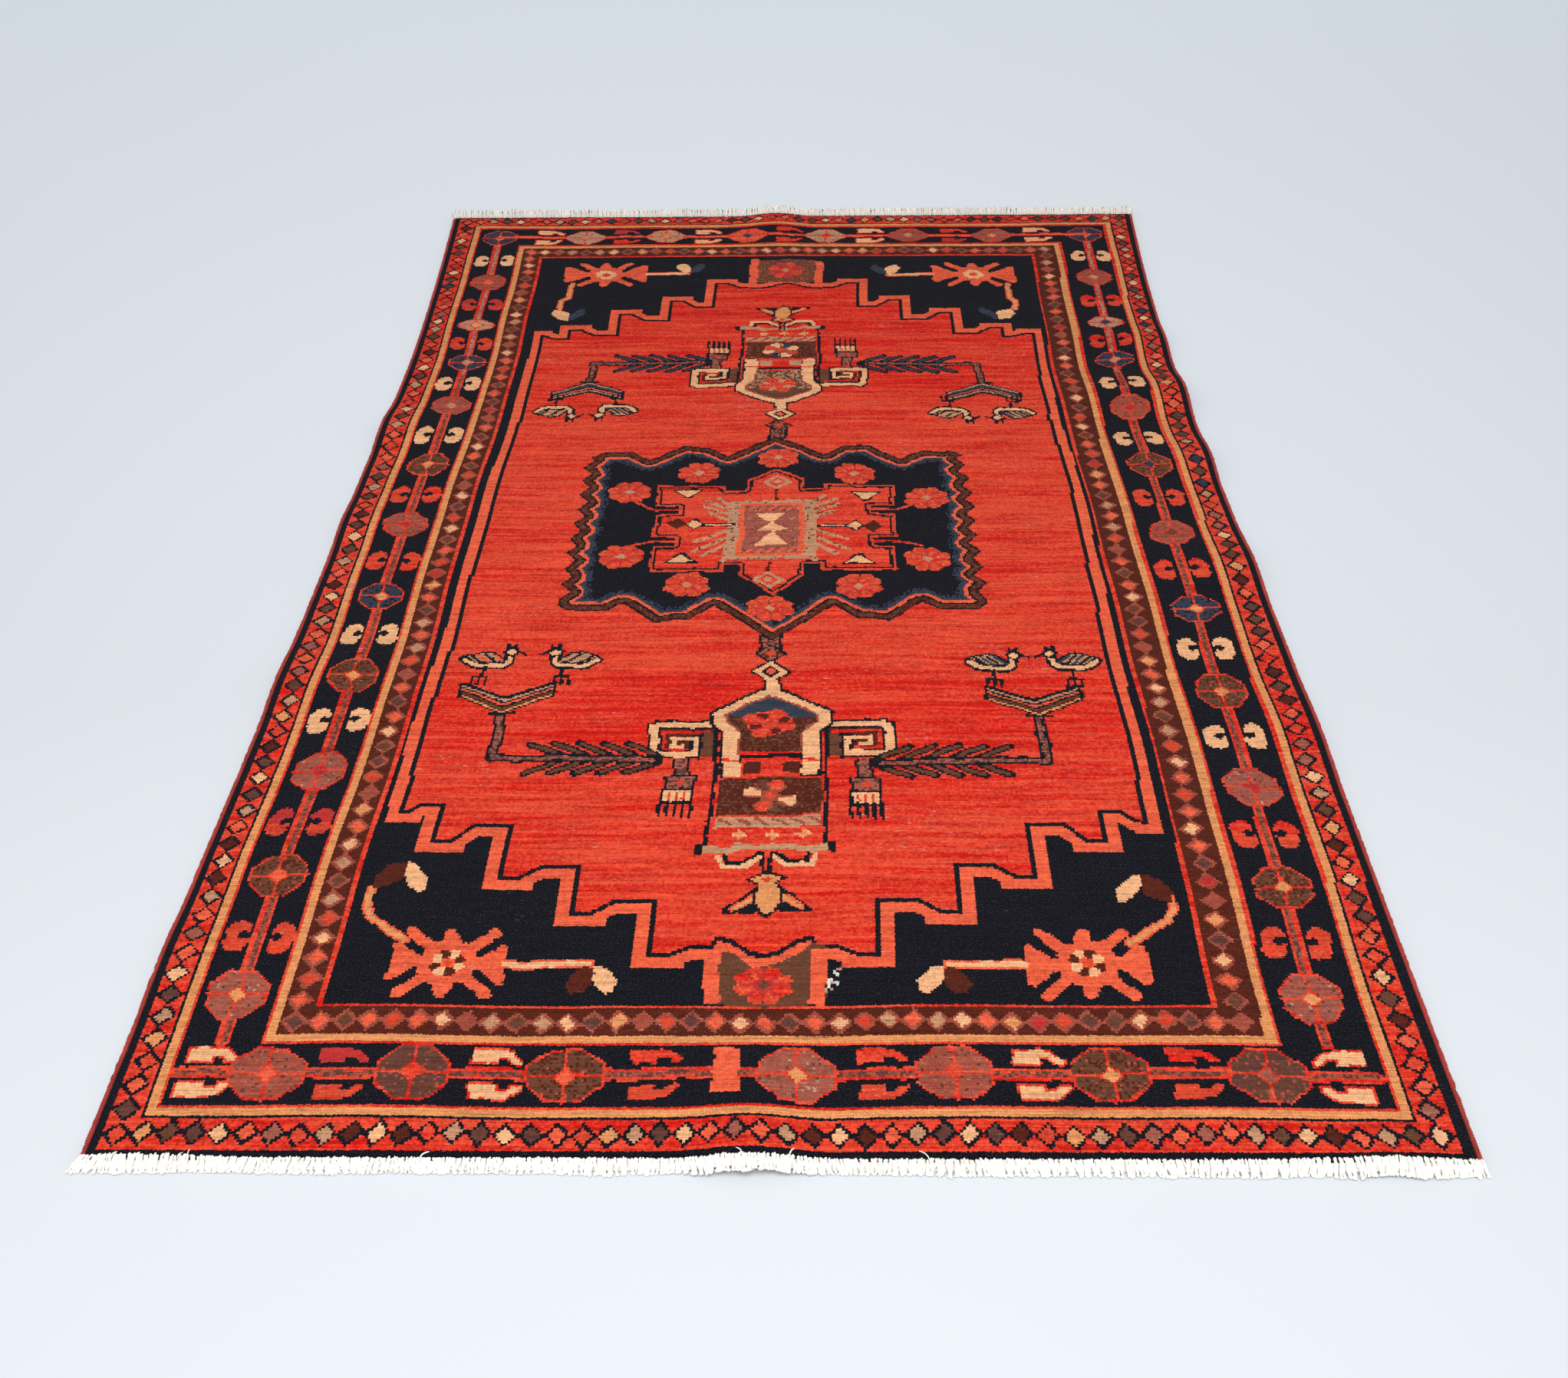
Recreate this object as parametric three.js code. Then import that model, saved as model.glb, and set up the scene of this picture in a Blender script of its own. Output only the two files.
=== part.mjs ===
// A hand-knotted wool rug spread on a floor: one knotted sheet with low ripples at its edges,
// a yarn-bound edge down each long side and a short cotton fringe across each end.
// Millimetres. +X is the rug's right, +Y its far end and +Z up, with the floor at Z = 0.
import * as THREE from "three";

// Driving dimensions
const RUG_WIDTH = 1400; // over the two bound edges, at the corners
const PILE_LENGTH = 2240; // between the two fringes
const THICKNESS = 9; // woven foundation and pile together
const BINDING_WIDTH = 7; // yarn-bound edge, seen from above
const BINDING_HEIGHT = 8;
const FRINGE_STRIP = 4; // plain-woven cotton that holds the strands' roots
const STRAND_LENGTH = 14; // longest strand, measured from the strip
const FRINGE_THICKNESS = 5;
const STRANDS_PER_END = 200;
const GAP = 0.3; // left between neighbouring pieces

// How finely the sheet is divided
const SHEET_COLUMNS = 32;
const SHEET_ROWS = 48;

// How far each long side draws in from the straight line between its corners
const SIDE_LINE = [
  { along: -1120, left: 0, right: 0 },
  { along: -800, left: 3, right: 2 },
  { along: -530, left: 8, right: 3 },
  { along: -200, left: 13, right: 8 },
  { along: 120, left: 16, right: 17 },
  { along: 520, left: 24, right: 23 },
  { along: 850, left: 14, right: 15 },
  { along: 1120, left: 0, right: 0 },
];

// Ripples that lift the sheet off the floor. Each one crests at the named edge, where it is
// halfLength long to either side, and dies away over its reach towards the middle.
const RIPPLES = [
  { edge: "right", along: 575, rise: 7, halfLength: 85, reach: 190 },
  { edge: "right", along: 385, rise: 15, halfLength: 100, reach: 300 },
  { edge: "right", along: 180, rise: 10, halfLength: 95, reach: 240 },
  { edge: "right", along: -110, rise: 8, halfLength: 110, reach: 220 },
  { edge: "right", along: -480, rise: 5, halfLength: 120, reach: 190 },
  { edge: "left", along: 285, rise: 10, halfLength: 100, reach: 230 },
  { edge: "left", along: 0, rise: 6, halfLength: 95, reach: 180 },
  { edge: "left", along: -375, rise: 7, halfLength: 110, reach: 200 },
  { edge: "left", along: -860, rise: 5, halfLength: 110, reach: 170 },
  { edge: "near", along: -28, rise: 11, halfLength: 85, reach: 210 },
  { edge: "near", along: 610, rise: 3, halfLength: 70, reach: 110 },
  { edge: "far", along: -32, rise: 7, halfLength: 85, reach: 200 },
];

// Section of a bound edge, from the sheet's side (across 0) to the open side (across 1)
const BINDING_SECTION = [
  { across: 0, up: 0 },
  { across: 0.6, up: 0 },
  { across: 1, up: 0.3 },
  { across: 1, up: 0.7 },
  { across: 0.6, up: 1 },
  { across: 0, up: 1 },
];

// Shape of a fringe strand, as shares of the strand pitch and of the longest strand
const STRAND_ROOT_HALF_WIDTH = 0.44;
const STRAND_TIP_HALF_WIDTH = 0.32;
const STRAND_LEAN = 0.16;
const STRAND_SHORTEST = 0.8;
const LEAN_BEAT = 1.7; // how fast lean and length change from strand to strand
const LENGTH_BEAT = 2.3;

const PILE_RED = 0xc03a26;
const BINDING_ROSE = 0x96322d;
const FRINGE_COTTON = 0xefece4;

const HALF_LENGTH = PILE_LENGTH / 2;
const EDGE_SIGN = { left: -1, right: 1, near: -1, far: 1 };

const sideInset = {
  left: insetCurve("left"),
  right: insetCurve("right"),
};

// A smooth curve through one column of the side table
function insetCurve(side) {
  const alongs = SIDE_LINE.map((row) => row.along);
  const insets = SIDE_LINE.map((row) => row[side]);
  return new THREE.CubicInterpolant(alongs, insets, 1);
}

// Outer edge of the rug on one long side
function sideX(side, y) {
  const inset = sideInset[side].evaluate(y)[0];
  return EDGE_SIGN[side] * (RUG_WIDTH / 2 - inset);
}

// A smooth hump that is 1 at 0 and dies away at 1
function bell(share) {
  if (Math.abs(share) >= 1) {
    return 0;
  }
  return 0.5 * (1 + Math.cos(Math.PI * share));
}

// Distance of a point from one edge of the pile, measured inwards
function inwardFrom(edge, x, y) {
  const onLongSide = edge === "left" || edge === "right";
  const edgeAt = onLongSide ? sideX(edge, y) : EDGE_SIGN[edge] * HALF_LENGTH;
  const here = onLongSide ? x : y;
  return Math.max(0, EDGE_SIGN[edge] * (edgeAt - here));
}

// Height of the underside above the floor
function lift(x, y) {
  let height = 0;
  for (const ripple of RIPPLES) {
    const onLongSide = ripple.edge === "left" || ripple.edge === "right";
    const along = (onLongSide ? y : x) - ripple.along;
    const inward = inwardFrom(ripple.edge, x, y);
    height += ripple.rise * bell(along / ripple.halfLength) * bell(inward / ripple.reach);
  }
  return height;
}

// A closed geometry from rings of points that share one count, with flat caps on both ends
function loftGeometry(rings) {
  const perRing = rings[0].length;
  const points = rings.flat();
  const faces = [];
  for (let ring = 0; ring + 1 < rings.length; ring++) {
    for (let k = 0; k < perRing; k++) {
      const next = (k + 1) % perRing;
      const a = ring * perRing + k;
      const b = ring * perRing + next;
      faces.push(a, b, b + perRing, a, b + perRing, a + perRing);
    }
  }
  const last = (rings.length - 1) * perRing;
  for (let k = 1; k + 1 < perRing; k++) {
    faces.push(0, k + 1, k);
    faces.push(last, last + k, last + k + 1);
  }
  return indexedGeometry(points, faces);
}

function indexedGeometry(points, faces) {
  const geometry = new THREE.BufferGeometry().setFromPoints(points);
  geometry.setIndex(faces);
  geometry.computeVertexNormals();
  return geometry;
}

// The knotted sheet: a grid of points on its underside and the same grid on its pile
function sheetGeometry() {
  const points = [];
  const faces = [];
  const perLayer = (SHEET_COLUMNS + 1) * (SHEET_ROWS + 1);
  for (const height of [0, THICKNESS]) {
    for (let row = 0; row <= SHEET_ROWS; row++) {
      const y = THREE.MathUtils.lerp(-HALF_LENGTH, HALF_LENGTH, row / SHEET_ROWS);
      const leftX = sideX("left", y) + BINDING_WIDTH + GAP;
      const rightX = sideX("right", y) - BINDING_WIDTH - GAP;
      for (let column = 0; column <= SHEET_COLUMNS; column++) {
        const x = THREE.MathUtils.lerp(leftX, rightX, column / SHEET_COLUMNS);
        points.push(new THREE.Vector3(x, y, lift(x, y) + height));
      }
    }
  }
  const at = (column, row) => row * (SHEET_COLUMNS + 1) + column;
  for (let row = 0; row < SHEET_ROWS; row++) {
    for (let column = 0; column < SHEET_COLUMNS; column++) {
      const a = at(column, row);
      const b = at(column + 1, row);
      const c = at(column + 1, row + 1);
      const d = at(column, row + 1);
      faces.push(a, c, b, a, d, c);
      faces.push(a + perLayer, b + perLayer, c + perLayer, a + perLayer, c + perLayer, d + perLayer);
    }
  }
  const wall = (from, to) => {
    faces.push(from, to, to + perLayer, from, to + perLayer, from + perLayer);
  };
  for (let column = 0; column < SHEET_COLUMNS; column++) {
    wall(at(column, 0), at(column + 1, 0));
    wall(at(column + 1, SHEET_ROWS), at(column, SHEET_ROWS));
  }
  for (let row = 0; row < SHEET_ROWS; row++) {
    wall(at(SHEET_COLUMNS, row), at(SHEET_COLUMNS, row + 1));
    wall(at(0, row + 1), at(0, row));
  }
  return indexedGeometry(points, faces);
}

// A bound edge: its section carried along one long side, over the ripples
function bindingGeometry(side) {
  const section = side === "right" ? BINDING_SECTION : [...BINDING_SECTION].reverse();
  const rings = [];
  for (let row = 0; row <= SHEET_ROWS; row++) {
    const y = THREE.MathUtils.lerp(HALF_LENGTH, -HALF_LENGTH, row / SHEET_ROWS);
    const innerX = sideX(side, y) - EDGE_SIGN[side] * BINDING_WIDTH;
    const sheetX = innerX - EDGE_SIGN[side] * GAP;
    const floor = lift(sheetX, y);
    rings.push(
      section.map(
        ({ across, up }) =>
          new THREE.Vector3(
            innerX + EDGE_SIGN[side] * across * BINDING_WIDTH,
            y,
            floor + up * BINDING_HEIGHT,
          ),
      ),
    );
  }
  return loftGeometry(rings);
}

// A fringe: a comb of separate strands on one narrow strip, lying flat and lifted by the ripples
function fringeGeometry(end) {
  const pitch = RUG_WIDTH / STRANDS_PER_END;
  const pileEnd = EDGE_SIGN[end] * HALF_LENGTH;
  const outwards = (out) => pileEnd + EDGE_SIGN[end] * (GAP + out);
  const outline = [new THREE.Vector2(-RUG_WIDTH / 2, outwards(0))];
  outline.push(new THREE.Vector2(-RUG_WIDTH / 2, outwards(FRINGE_STRIP)));
  for (let strand = 0; strand < STRANDS_PER_END; strand++) {
    const rootX = -RUG_WIDTH / 2 + (strand + 0.5) * pitch;
    const tipX = rootX + STRAND_LEAN * pitch * Math.sin(strand * LEAN_BEAT);
    const share = THREE.MathUtils.lerp(STRAND_SHORTEST, 1, Math.sin(strand * LENGTH_BEAT) ** 2);
    const tip = outwards(FRINGE_STRIP + share * STRAND_LENGTH);
    const root = outwards(FRINGE_STRIP);
    outline.push(new THREE.Vector2(rootX - STRAND_ROOT_HALF_WIDTH * pitch, root));
    outline.push(new THREE.Vector2(tipX - STRAND_TIP_HALF_WIDTH * pitch, tip));
    outline.push(new THREE.Vector2(tipX + STRAND_TIP_HALF_WIDTH * pitch, tip));
    outline.push(new THREE.Vector2(rootX + STRAND_ROOT_HALF_WIDTH * pitch, root));
  }
  outline.push(new THREE.Vector2(RUG_WIDTH / 2, outwards(FRINGE_STRIP)));
  outline.push(new THREE.Vector2(RUG_WIDTH / 2, outwards(0)));
  const comb = new THREE.Shape(outline);
  const geometry = new THREE.ExtrudeGeometry(comb, { depth: FRINGE_THICKNESS, bevelEnabled: false });
  const position = geometry.getAttribute("position");
  for (let k = 0; k < position.count; k++) {
    position.setZ(k, position.getZ(k) + lift(position.getX(k), pileEnd));
  }
  geometry.computeVertexNormals();
  return geometry;
}

function clothMaterial(color) {
  return new THREE.MeshStandardMaterial({ color, roughness: 0.95, metalness: 0 });
}

function piece(name, geometry, material) {
  const mesh = new THREE.Mesh(geometry, material);
  mesh.name = name;
  return mesh;
}

const pileWool = clothMaterial(PILE_RED);
const bindingYarn = clothMaterial(BINDING_ROSE);
const fringeCotton = clothMaterial(FRINGE_COTTON);

const rug = new THREE.Group();
rug.add(piece("pile_sheet", sheetGeometry(), pileWool));
rug.add(piece("edge_binding_left", bindingGeometry("left"), bindingYarn));
rug.add(piece("edge_binding_right", bindingGeometry("right"), bindingYarn));
rug.add(piece("fringe_near", fringeGeometry("near"), fringeCotton));
rug.add(piece("fringe_far", fringeGeometry("far"), fringeCotton));

export default rug;
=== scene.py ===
"""Dresses the frame of an oriental rug: knotted pile, yarn-bound sides and cotton fringes."""

import math

import bpy
import numpy as np
from mathutils import Matrix, Vector


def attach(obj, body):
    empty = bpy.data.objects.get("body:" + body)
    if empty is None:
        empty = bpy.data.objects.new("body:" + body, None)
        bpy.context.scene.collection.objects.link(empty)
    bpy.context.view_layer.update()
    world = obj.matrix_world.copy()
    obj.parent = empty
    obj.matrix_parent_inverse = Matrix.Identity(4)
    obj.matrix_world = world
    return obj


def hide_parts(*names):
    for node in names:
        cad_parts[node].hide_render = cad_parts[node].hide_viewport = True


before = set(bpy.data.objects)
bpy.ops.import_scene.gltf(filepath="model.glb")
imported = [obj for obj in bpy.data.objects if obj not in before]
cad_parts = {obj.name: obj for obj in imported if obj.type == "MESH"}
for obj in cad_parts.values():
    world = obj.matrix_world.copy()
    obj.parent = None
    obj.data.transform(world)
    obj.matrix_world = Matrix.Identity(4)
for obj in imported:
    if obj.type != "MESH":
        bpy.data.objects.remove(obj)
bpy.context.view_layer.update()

bl_info = {
    "name": "Oriental Rug",
    "version": (1, 0, 0),
    "blender": (4, 5, 0),
    "location": "View3D > Sidebar > Rug",
    "description": "Dresses the frame of an oriental rug with knotted pile, bound sides and fringes",
    "category": "Object",
}

# Knots across and along the pile, and the knots on each side of one mesh cell.
COLUMNS = 441
ROWS = 723
CELL = 3
KEPT = CELL + 2
KNOT_ROWS = ("knots_0", "knots_1", "knots_2", "knots_3", "knots_4")
CELLS_ACROSS = COLUMNS // CELL
CELLS_ALONG = ROWS // CELL

# The wools, in the order of the colour ramp.
WOOLS = (
    "navy", "red", "salmon", "orange", "cream", "brown", "olive", "mauve",
    "rust", "blue", "tan", "crimson", "pale", "ember", "dusk", "bare",
)
(NAVY, RED, SALMON, ORANGE, CREAM, BROWN, OLIVE, MAUVE,
 RUST, BLUE, TAN, CRIMSON, PALE, EMBER, DUSK, BARE) = range(len(WOOLS))


def linear(value):
    """One screen value of 0 to 255 as the linear value that a shader takes."""
    value = value / 255
    return value / 12.92 if value <= 0.04045 else ((value + 0.055) / 1.055) ** 2.4


def dyed(name, words, red, green, blue):
    """A colour property whose default is given in screen values."""
    return bpy.props.FloatVectorProperty(
        name=name, description=words, subtype="COLOR", size=3, min=0.0, max=1.0,
        default=(linear(red), linear(green), linear(blue)),
    )


def length(name, words, metres):
    """A length property in metres."""
    return bpy.props.FloatProperty(name=name, description=words, default=metres, min=0.0, unit="LENGTH")


class RugSizes(bpy.types.PropertyGroup):
    """Sizes of the rug, close to those of the solids."""

    width: length("Width", "Width over both edge bindings at the ends", 1.400)
    pile_length: length("Pile length", "Length of the knotted pile", 2.240)
    thickness: length("Thickness", "Thickness of pile and foundation", 0.009)
    binding_width: length("Binding width", "Width of the yarn wound over each side", 0.0058)
    binding_height: length("Binding height", "Height of the wound yarn", 0.008)
    fringe_length: length("Fringe length", "How far the strands reach past the pile", 0.018)
    strand: length("Strand", "Thickness of one fringe strand", 0.0034)
    gap: length("Gap", "Play between neighbouring pieces", 0.0003)


class RugWools(bpy.types.PropertyGroup):
    """Colours of the wools and of the cotton."""

    navy: dyed("Navy", "Dark ground of borders and corners", 16, 16, 26)
    red: dyed("Red", "Ground of the field", 220, 22, 12)
    salmon: dyed("Salmon", "Outlines of the corners", 236, 88, 58)
    orange: dyed("Orange", "Narrow stripes", 228, 147, 90)
    cream: dyed("Cream", "Bright leaves and bands", 244, 178, 128)
    brown: dyed("Brown", "Inner guard stripe", 88, 31, 16)
    olive: dyed("Olive", "Dull brown of rosettes", 106, 62, 42)
    mauve: dyed("Mauve", "Greyed pink of rosettes", 164, 88, 72)
    rust: dyed("Rust", "Red brown of rosettes", 164, 76, 58)
    blue: dyed("Blue", "Slate blue of rosettes", 53, 58, 74)
    tan: dyed("Tan", "Greyed cream", 198, 142, 106)
    crimson: dyed("Crimson", "Cooler red of leaves", 192, 48, 46)
    pale: dyed("Pale", "Faded grey pink", 190, 140, 116)
    ember: dyed("Ember", "Bright orange red of leaves and rosettes", 216, 62, 40)
    dusk: dyed("Dusk", "Dark mauve brown", 100, 58, 48)
    bare: dyed("Bare", "Worn spot with the cotton showing", 226, 214, 200)
    binding: dyed("Binding", "Yarn wound over the sides", 178, 62, 54)
    cotton: dyed("Cotton", "Fringe strands", 248, 243, 234)


class RugStage(bpy.types.PropertyGroup):
    """Where the camera stands, and the floor."""

    camera_place: bpy.props.FloatVectorProperty(
        name="Camera place", description="Where the camera stands", size=3,
        subtype="TRANSLATION", default=(0.032, -2.031, 1.390),
    )
    dip: bpy.props.FloatProperty(
        name="Dip", description="How far the camera looks down", subtype="ANGLE",
        default=math.radians(40.18),
    )
    swing: bpy.props.FloatProperty(
        name="Swing", description="How far the camera turns to the left", subtype="ANGLE",
        default=math.radians(1.12),
    )
    lean: bpy.props.FloatProperty(
        name="Lean", description="How far the camera leans over", subtype="ANGLE",
        default=math.radians(-0.83),
    )
    lens: bpy.props.FloatProperty(
        name="Lens", description="Focal length of the camera", default=36.7, unit="CAMERA",
    )
    floor: dyed("Floor", "Plain pale floor", 208, 212, 216)


# Outline of the rug: how far the left and the right side stand in along its length, in metres.
STATIONS = np.array((-1.120, -0.800, -0.530, -0.200, 0.120, 0.520, 0.850, 1.120))
LEFT_INSETS = np.array((0.000, 0.003, 0.008, 0.013, 0.016, 0.024, 0.014, 0.000))
RIGHT_INSETS = np.array((0.000, 0.002, 0.003, 0.008, 0.017, 0.023, 0.015, 0.000))

# Ripples: the edge they start from, their place along it, rise, half length and reach, in metres.
RIPPLES = (
    ("right", 0.575, 0.007, 0.085, 0.190),
    ("right", 0.385, 0.015, 0.100, 0.300),
    ("right", 0.180, 0.010, 0.095, 0.240),
    ("right", -0.110, 0.008, 0.110, 0.220),
    ("right", -0.480, 0.005, 0.120, 0.190),
    ("left", 0.285, 0.010, 0.100, 0.230),
    ("left", 0.000, 0.006, 0.095, 0.180),
    ("left", -0.375, 0.007, 0.110, 0.200),
    ("left", -0.860, 0.005, 0.110, 0.170),
    ("near", -0.028, 0.011, 0.085, 0.210),
    ("near", 0.610, 0.003, 0.070, 0.110),
    ("far", -0.032, 0.007, 0.085, 0.200),
)


def smooth_curve(stations, values, at):
    """A smooth curve through values at stations, read at the places given."""
    slopes = np.gradient(values, stations)
    k = np.clip(np.searchsorted(stations, at) - 1, 0, len(stations) - 2)
    span = stations[k + 1] - stations[k]
    t = np.clip((at - stations[k]) / span, 0.0, 1.0)
    return (
        (2 * t**3 - 3 * t**2 + 1) * values[k]
        + (t**3 - 2 * t**2 + t) * span * slopes[k]
        + (3 * t**2 - 2 * t**3) * values[k + 1]
        + (t**3 - t**2) * span * slopes[k + 1]
    )


def side_line(side, y):
    """Where the outer face of a side stands at y. The side is -1 for left and 1 for right."""
    insets = LEFT_INSETS if side < 0 else RIGHT_INSETS
    return side * (bpy.context.scene.rug_sizes.width / 2 - smooth_curve(STATIONS, insets, y))


def bell(t):
    """A smooth hump that is 1 at 0 and falls to 0 at 1."""
    return np.where(np.abs(t) < 1, 0.5 * (1 + np.cos(np.pi * np.clip(t, -1, 1))), 0.0)


def lift(x, y):
    """Height of the rug's underside over the floor."""
    x, y = np.broadcast_arrays(np.asarray(x, float), np.asarray(y, float))
    half = bpy.context.scene.rug_sizes.pile_length / 2
    total = np.zeros(x.shape)
    for edge, along, rise, half_length, reach in RIPPLES:
        if edge in ("left", "right"):
            side = -1 if edge == "left" else 1
            inward = side * (side_line(side, y) - x)
            offset = y - along
        else:
            side = -1 if edge == "near" else 1
            inward = half - side * y
            offset = x - along
        total += rise * bell(offset / half_length) * bell(np.maximum(inward, 0) / reach)
    return total


# How hand knotting wavers, in knots: size, length of a wave one way and the other way, and its start.
WAVER_ACROSS = ((0.45, 61, 210, 0.0), (0.32, 23.7, -90, 1.3), (0.20, 9.1, 37, 0.4))
WAVER_ALONG = ((0.50, 83, 240, 2.1), (0.32, 31, -77, 0.7), (0.18, 11.3, 29, 0.0))


def waver(waves, first, second):
    """How far the places of a chart stray from their row or column."""
    return sum(
        size * np.sin(2 * np.pi * (first / one_way + second / other_way) + start)
        for size, one_way, other_way, start in waves
    )


class Chart:
    """The rug's knots as wool numbers. Motifs painted on it waver a little, as hand knotting does."""

    def __init__(self):
        self.knots = np.full((ROWS, COLUMNS), NAVY, np.uint8)
        j, i = np.mgrid[0:ROWS, 0:COLUMNS] + 0.5
        self.ruled = (i, j)
        self.wavering = (i + waver(WAVER_ACROSS, j, i), j + waver(WAVER_ALONG, i, j))
        self.chance = np.random.default_rng(7)

    def window(self, points, margin):
        """The part of the chart round some points, as two slices."""
        points = np.asarray(points, float)
        low = np.floor(points.min(axis=0) - margin - 2).astype(int)
        high = np.ceil(points.max(axis=0) + margin + 2).astype(int)
        return (
            slice(max(low[1], 0), max(min(high[1], ROWS), 0)),
            slice(max(low[0], 0), max(min(high[0], COLUMNS), 0)),
        )

    def put(self, window, where, wool):
        """Sets the knots of a window where the mask says."""
        self.knots[window][where] = wool


def inside(points, x, y):
    """Which of the places lie inside a closed outline."""
    hit = np.zeros(x.shape, bool)
    px, py = points[-1]
    for qx, qy in points:
        if py != qy:
            hit ^= ((py > y) != (qy > y)) & (x < (qx - px) * (y - py) / (qy - py) + px)
        px, py = qx, qy
    return hit


def distance(points, x, y, square=False):
    """Distance of each place from a line through points, with square corners where asked."""
    nearest = np.full(x.shape, np.inf)
    for (px, py), (qx, qy) in zip(points[:-1], points[1:]):
        dx, dy = qx - px, qy - py
        long = dx * dx + dy * dy
        t = np.clip(((x - px) * dx + (y - py) * dy) / long, 0, 1) if long else 0.0
        away_x, away_y = np.abs(x - px - t * dx), np.abs(y - py - t * dy)
        straight = square and min(abs(dx), abs(dy)) < 1
        away = np.maximum(away_x, away_y) if straight else np.hypot(away_x, away_y)
        nearest = np.minimum(nearest, away)
    return nearest


class Brush:
    """Paints shapes in knots from its own origin, turned over or stretched where asked.

    A ruled brush keeps true to the rows and columns, and another one wavers.
    """

    def __init__(self, chart, across=0.0, along=0.0, flip=1, turn=1, wide=1.0, tall=1.0, ruled=False):
        self.chart = chart
        self.ruled = ruled
        self.origin = (across, along)
        self.scale = (flip * wide, turn * tall)

    def at(self, across, along, flip=1, turn=1, wide=1.0, tall=1.0):
        """A brush whose origin stands at a place of this one."""
        (place,) = self.places([(across, along)])
        return Brush(
            self.chart, place[0], place[1],
            flip * math.copysign(1, self.scale[0]), turn * math.copysign(1, self.scale[1]),
            wide * abs(self.scale[0]), tall * abs(self.scale[1]), self.ruled,
        )

    def both_sides(self):
        """This brush turned over to the left of its middle line, and as it is to the right."""
        return [self.at(0, 0, flip=side) for side in (-1, 1)]

    def grid(self, window):
        """Where the knots of a window stand for this brush."""
        across, along = self.chart.ruled if self.ruled else self.chart.wavering
        return across[window], along[window]

    def places(self, points):
        return [
            (self.origin[0] + self.scale[0] * a, self.origin[1] + self.scale[1] * b)
            for a, b in points
        ]

    def area(self, points, wool):
        points = self.places(points)
        window = self.chart.window(points, 1)
        self.chart.put(window, inside(points, *self.grid(window)), wool)

    def line(self, points, width, wool, closed=False, square=False):
        points = self.places(points)
        if closed:
            points += points[:1]
        window = self.chart.window(points, width)
        away = distance(points, *self.grid(window), square)
        self.chart.put(window, away <= width / 2, wool)

    def fleck(self, points, wool, other, share):
        """Mixes some knots of another wool into one wool inside an outline."""
        points = self.places(points)
        window = self.chart.window(points, 1)
        where = inside(points, *self.grid(window))
        where &= self.chart.knots[window] == wool
        where &= self.chart.chance.random(where.shape) < share
        self.chart.put(window, where, other)

    def fleck_box(self, a, b, c, d, wool, other, share):
        self.fleck([(a, b), (c, b), (c, d), (a, d)], wool, other, share)

    def box(self, a, b, c, d, wool):
        self.area([(a, b), (c, b), (c, d), (a, d)], wool)

    def diamond(self, a, b, half_a, half_b, wool):
        self.area([(a - half_a, b), (a, b - half_b), (a + half_a, b), (a, b + half_b)], wool)

    def nested(self, a, b, *steps):
        """Diamonds one on the other: half sizes and wool of each, from the lowest up."""
        for half_a, half_b, wool in steps:
            self.diamond(a, b, half_a, half_b, wool)

    def edged(self, points, edge_width, edge, width, wool):
        """A line with another wool showing along both of its sides."""
        self.line(points, edge_width, edge)
        self.line(points, width, wool)

    def disc(self, a, b, half_a, half_b, wool):
        angles = np.linspace(0, 2 * np.pi, 16, endpoint=False)
        self.area([(a + half_a * math.cos(t), b + half_b * math.sin(t)) for t in angles], wool)

    def bands(self, outline, widths_and_wools):
        """Fills an outline with bands that follow it inwards, the last one to the middle."""
        points = self.places(outline)
        window = self.chart.window(points, 1)
        x, y = self.grid(window)
        within = inside(points, x, y)
        away = distance(points + points[:1], x, y)
        reach = 0.0
        for width, wool in widths_and_wools:
            self.chart.put(window, within & (away >= reach), wool)
            reach += width


def eight_sided(half_a, half_b, cut_a=0.42, cut_b=0.42):
    """Outline of a block with cut corners."""
    return [
        (-half_a, -half_b * cut_b), (-half_a * cut_a, -half_b),
        (half_a * cut_a, -half_b), (half_a, -half_b * cut_b),
        (half_a, half_b * cut_b), (half_a * cut_a, half_b),
        (-half_a * cut_a, half_b), (-half_a, half_b * cut_b),
    ]


def mirrored(half):
    """A closed outline from its half at the right of the middle line."""
    return list(half) + [(-a, b) for a, b in reversed(half)]


# Frame bands from the outside in: wool, then where the band starts from the left side, from the
# right side at the near and at the far end, from the near end and from the far end, in knots.
FRAME_BANDS = (
    (RED, 3, 3.6, 3, 3, 3),
    (NAVY, 13, 15, 12, 15, 14),
    (ORANGE, 14, 16, 13, 16, 15),
    (RED, 17, 19, 16, 19, 18),
    (NAVY, 18, 20.5, 17.5, 20, 20),
    (RED, 45, 51, 47, 45, 44),
    (ORANGE, 46, 52.4, 48.6, 46, 46),
    (BROWN, 49, 55.8, 52, 49, 49),
    (RED, 60, 69.6, 66, 61, 61),
    (NAVY, 62, 71.2, 67.6, 62, 63),
)


def right_side(near_inset, far_inset, along):
    """Column at an inset from the right side that changes from the near to the far end."""
    return COLUMNS - near_inset - (far_inset - near_inset) * along / ROWS


def paint_frame(brush):
    """The straight stripes round the rug, one inside the other."""
    for wool, left, right_near, right_far, near, far in FRAME_BANDS:
        brush.area(
            [
                (left, near),
                (right_side(right_near, right_far, near), near),
                (right_side(right_near, right_far, ROWS - far), ROWS - far),
                (left, ROWS - far),
            ],
            wool,
        )


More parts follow.
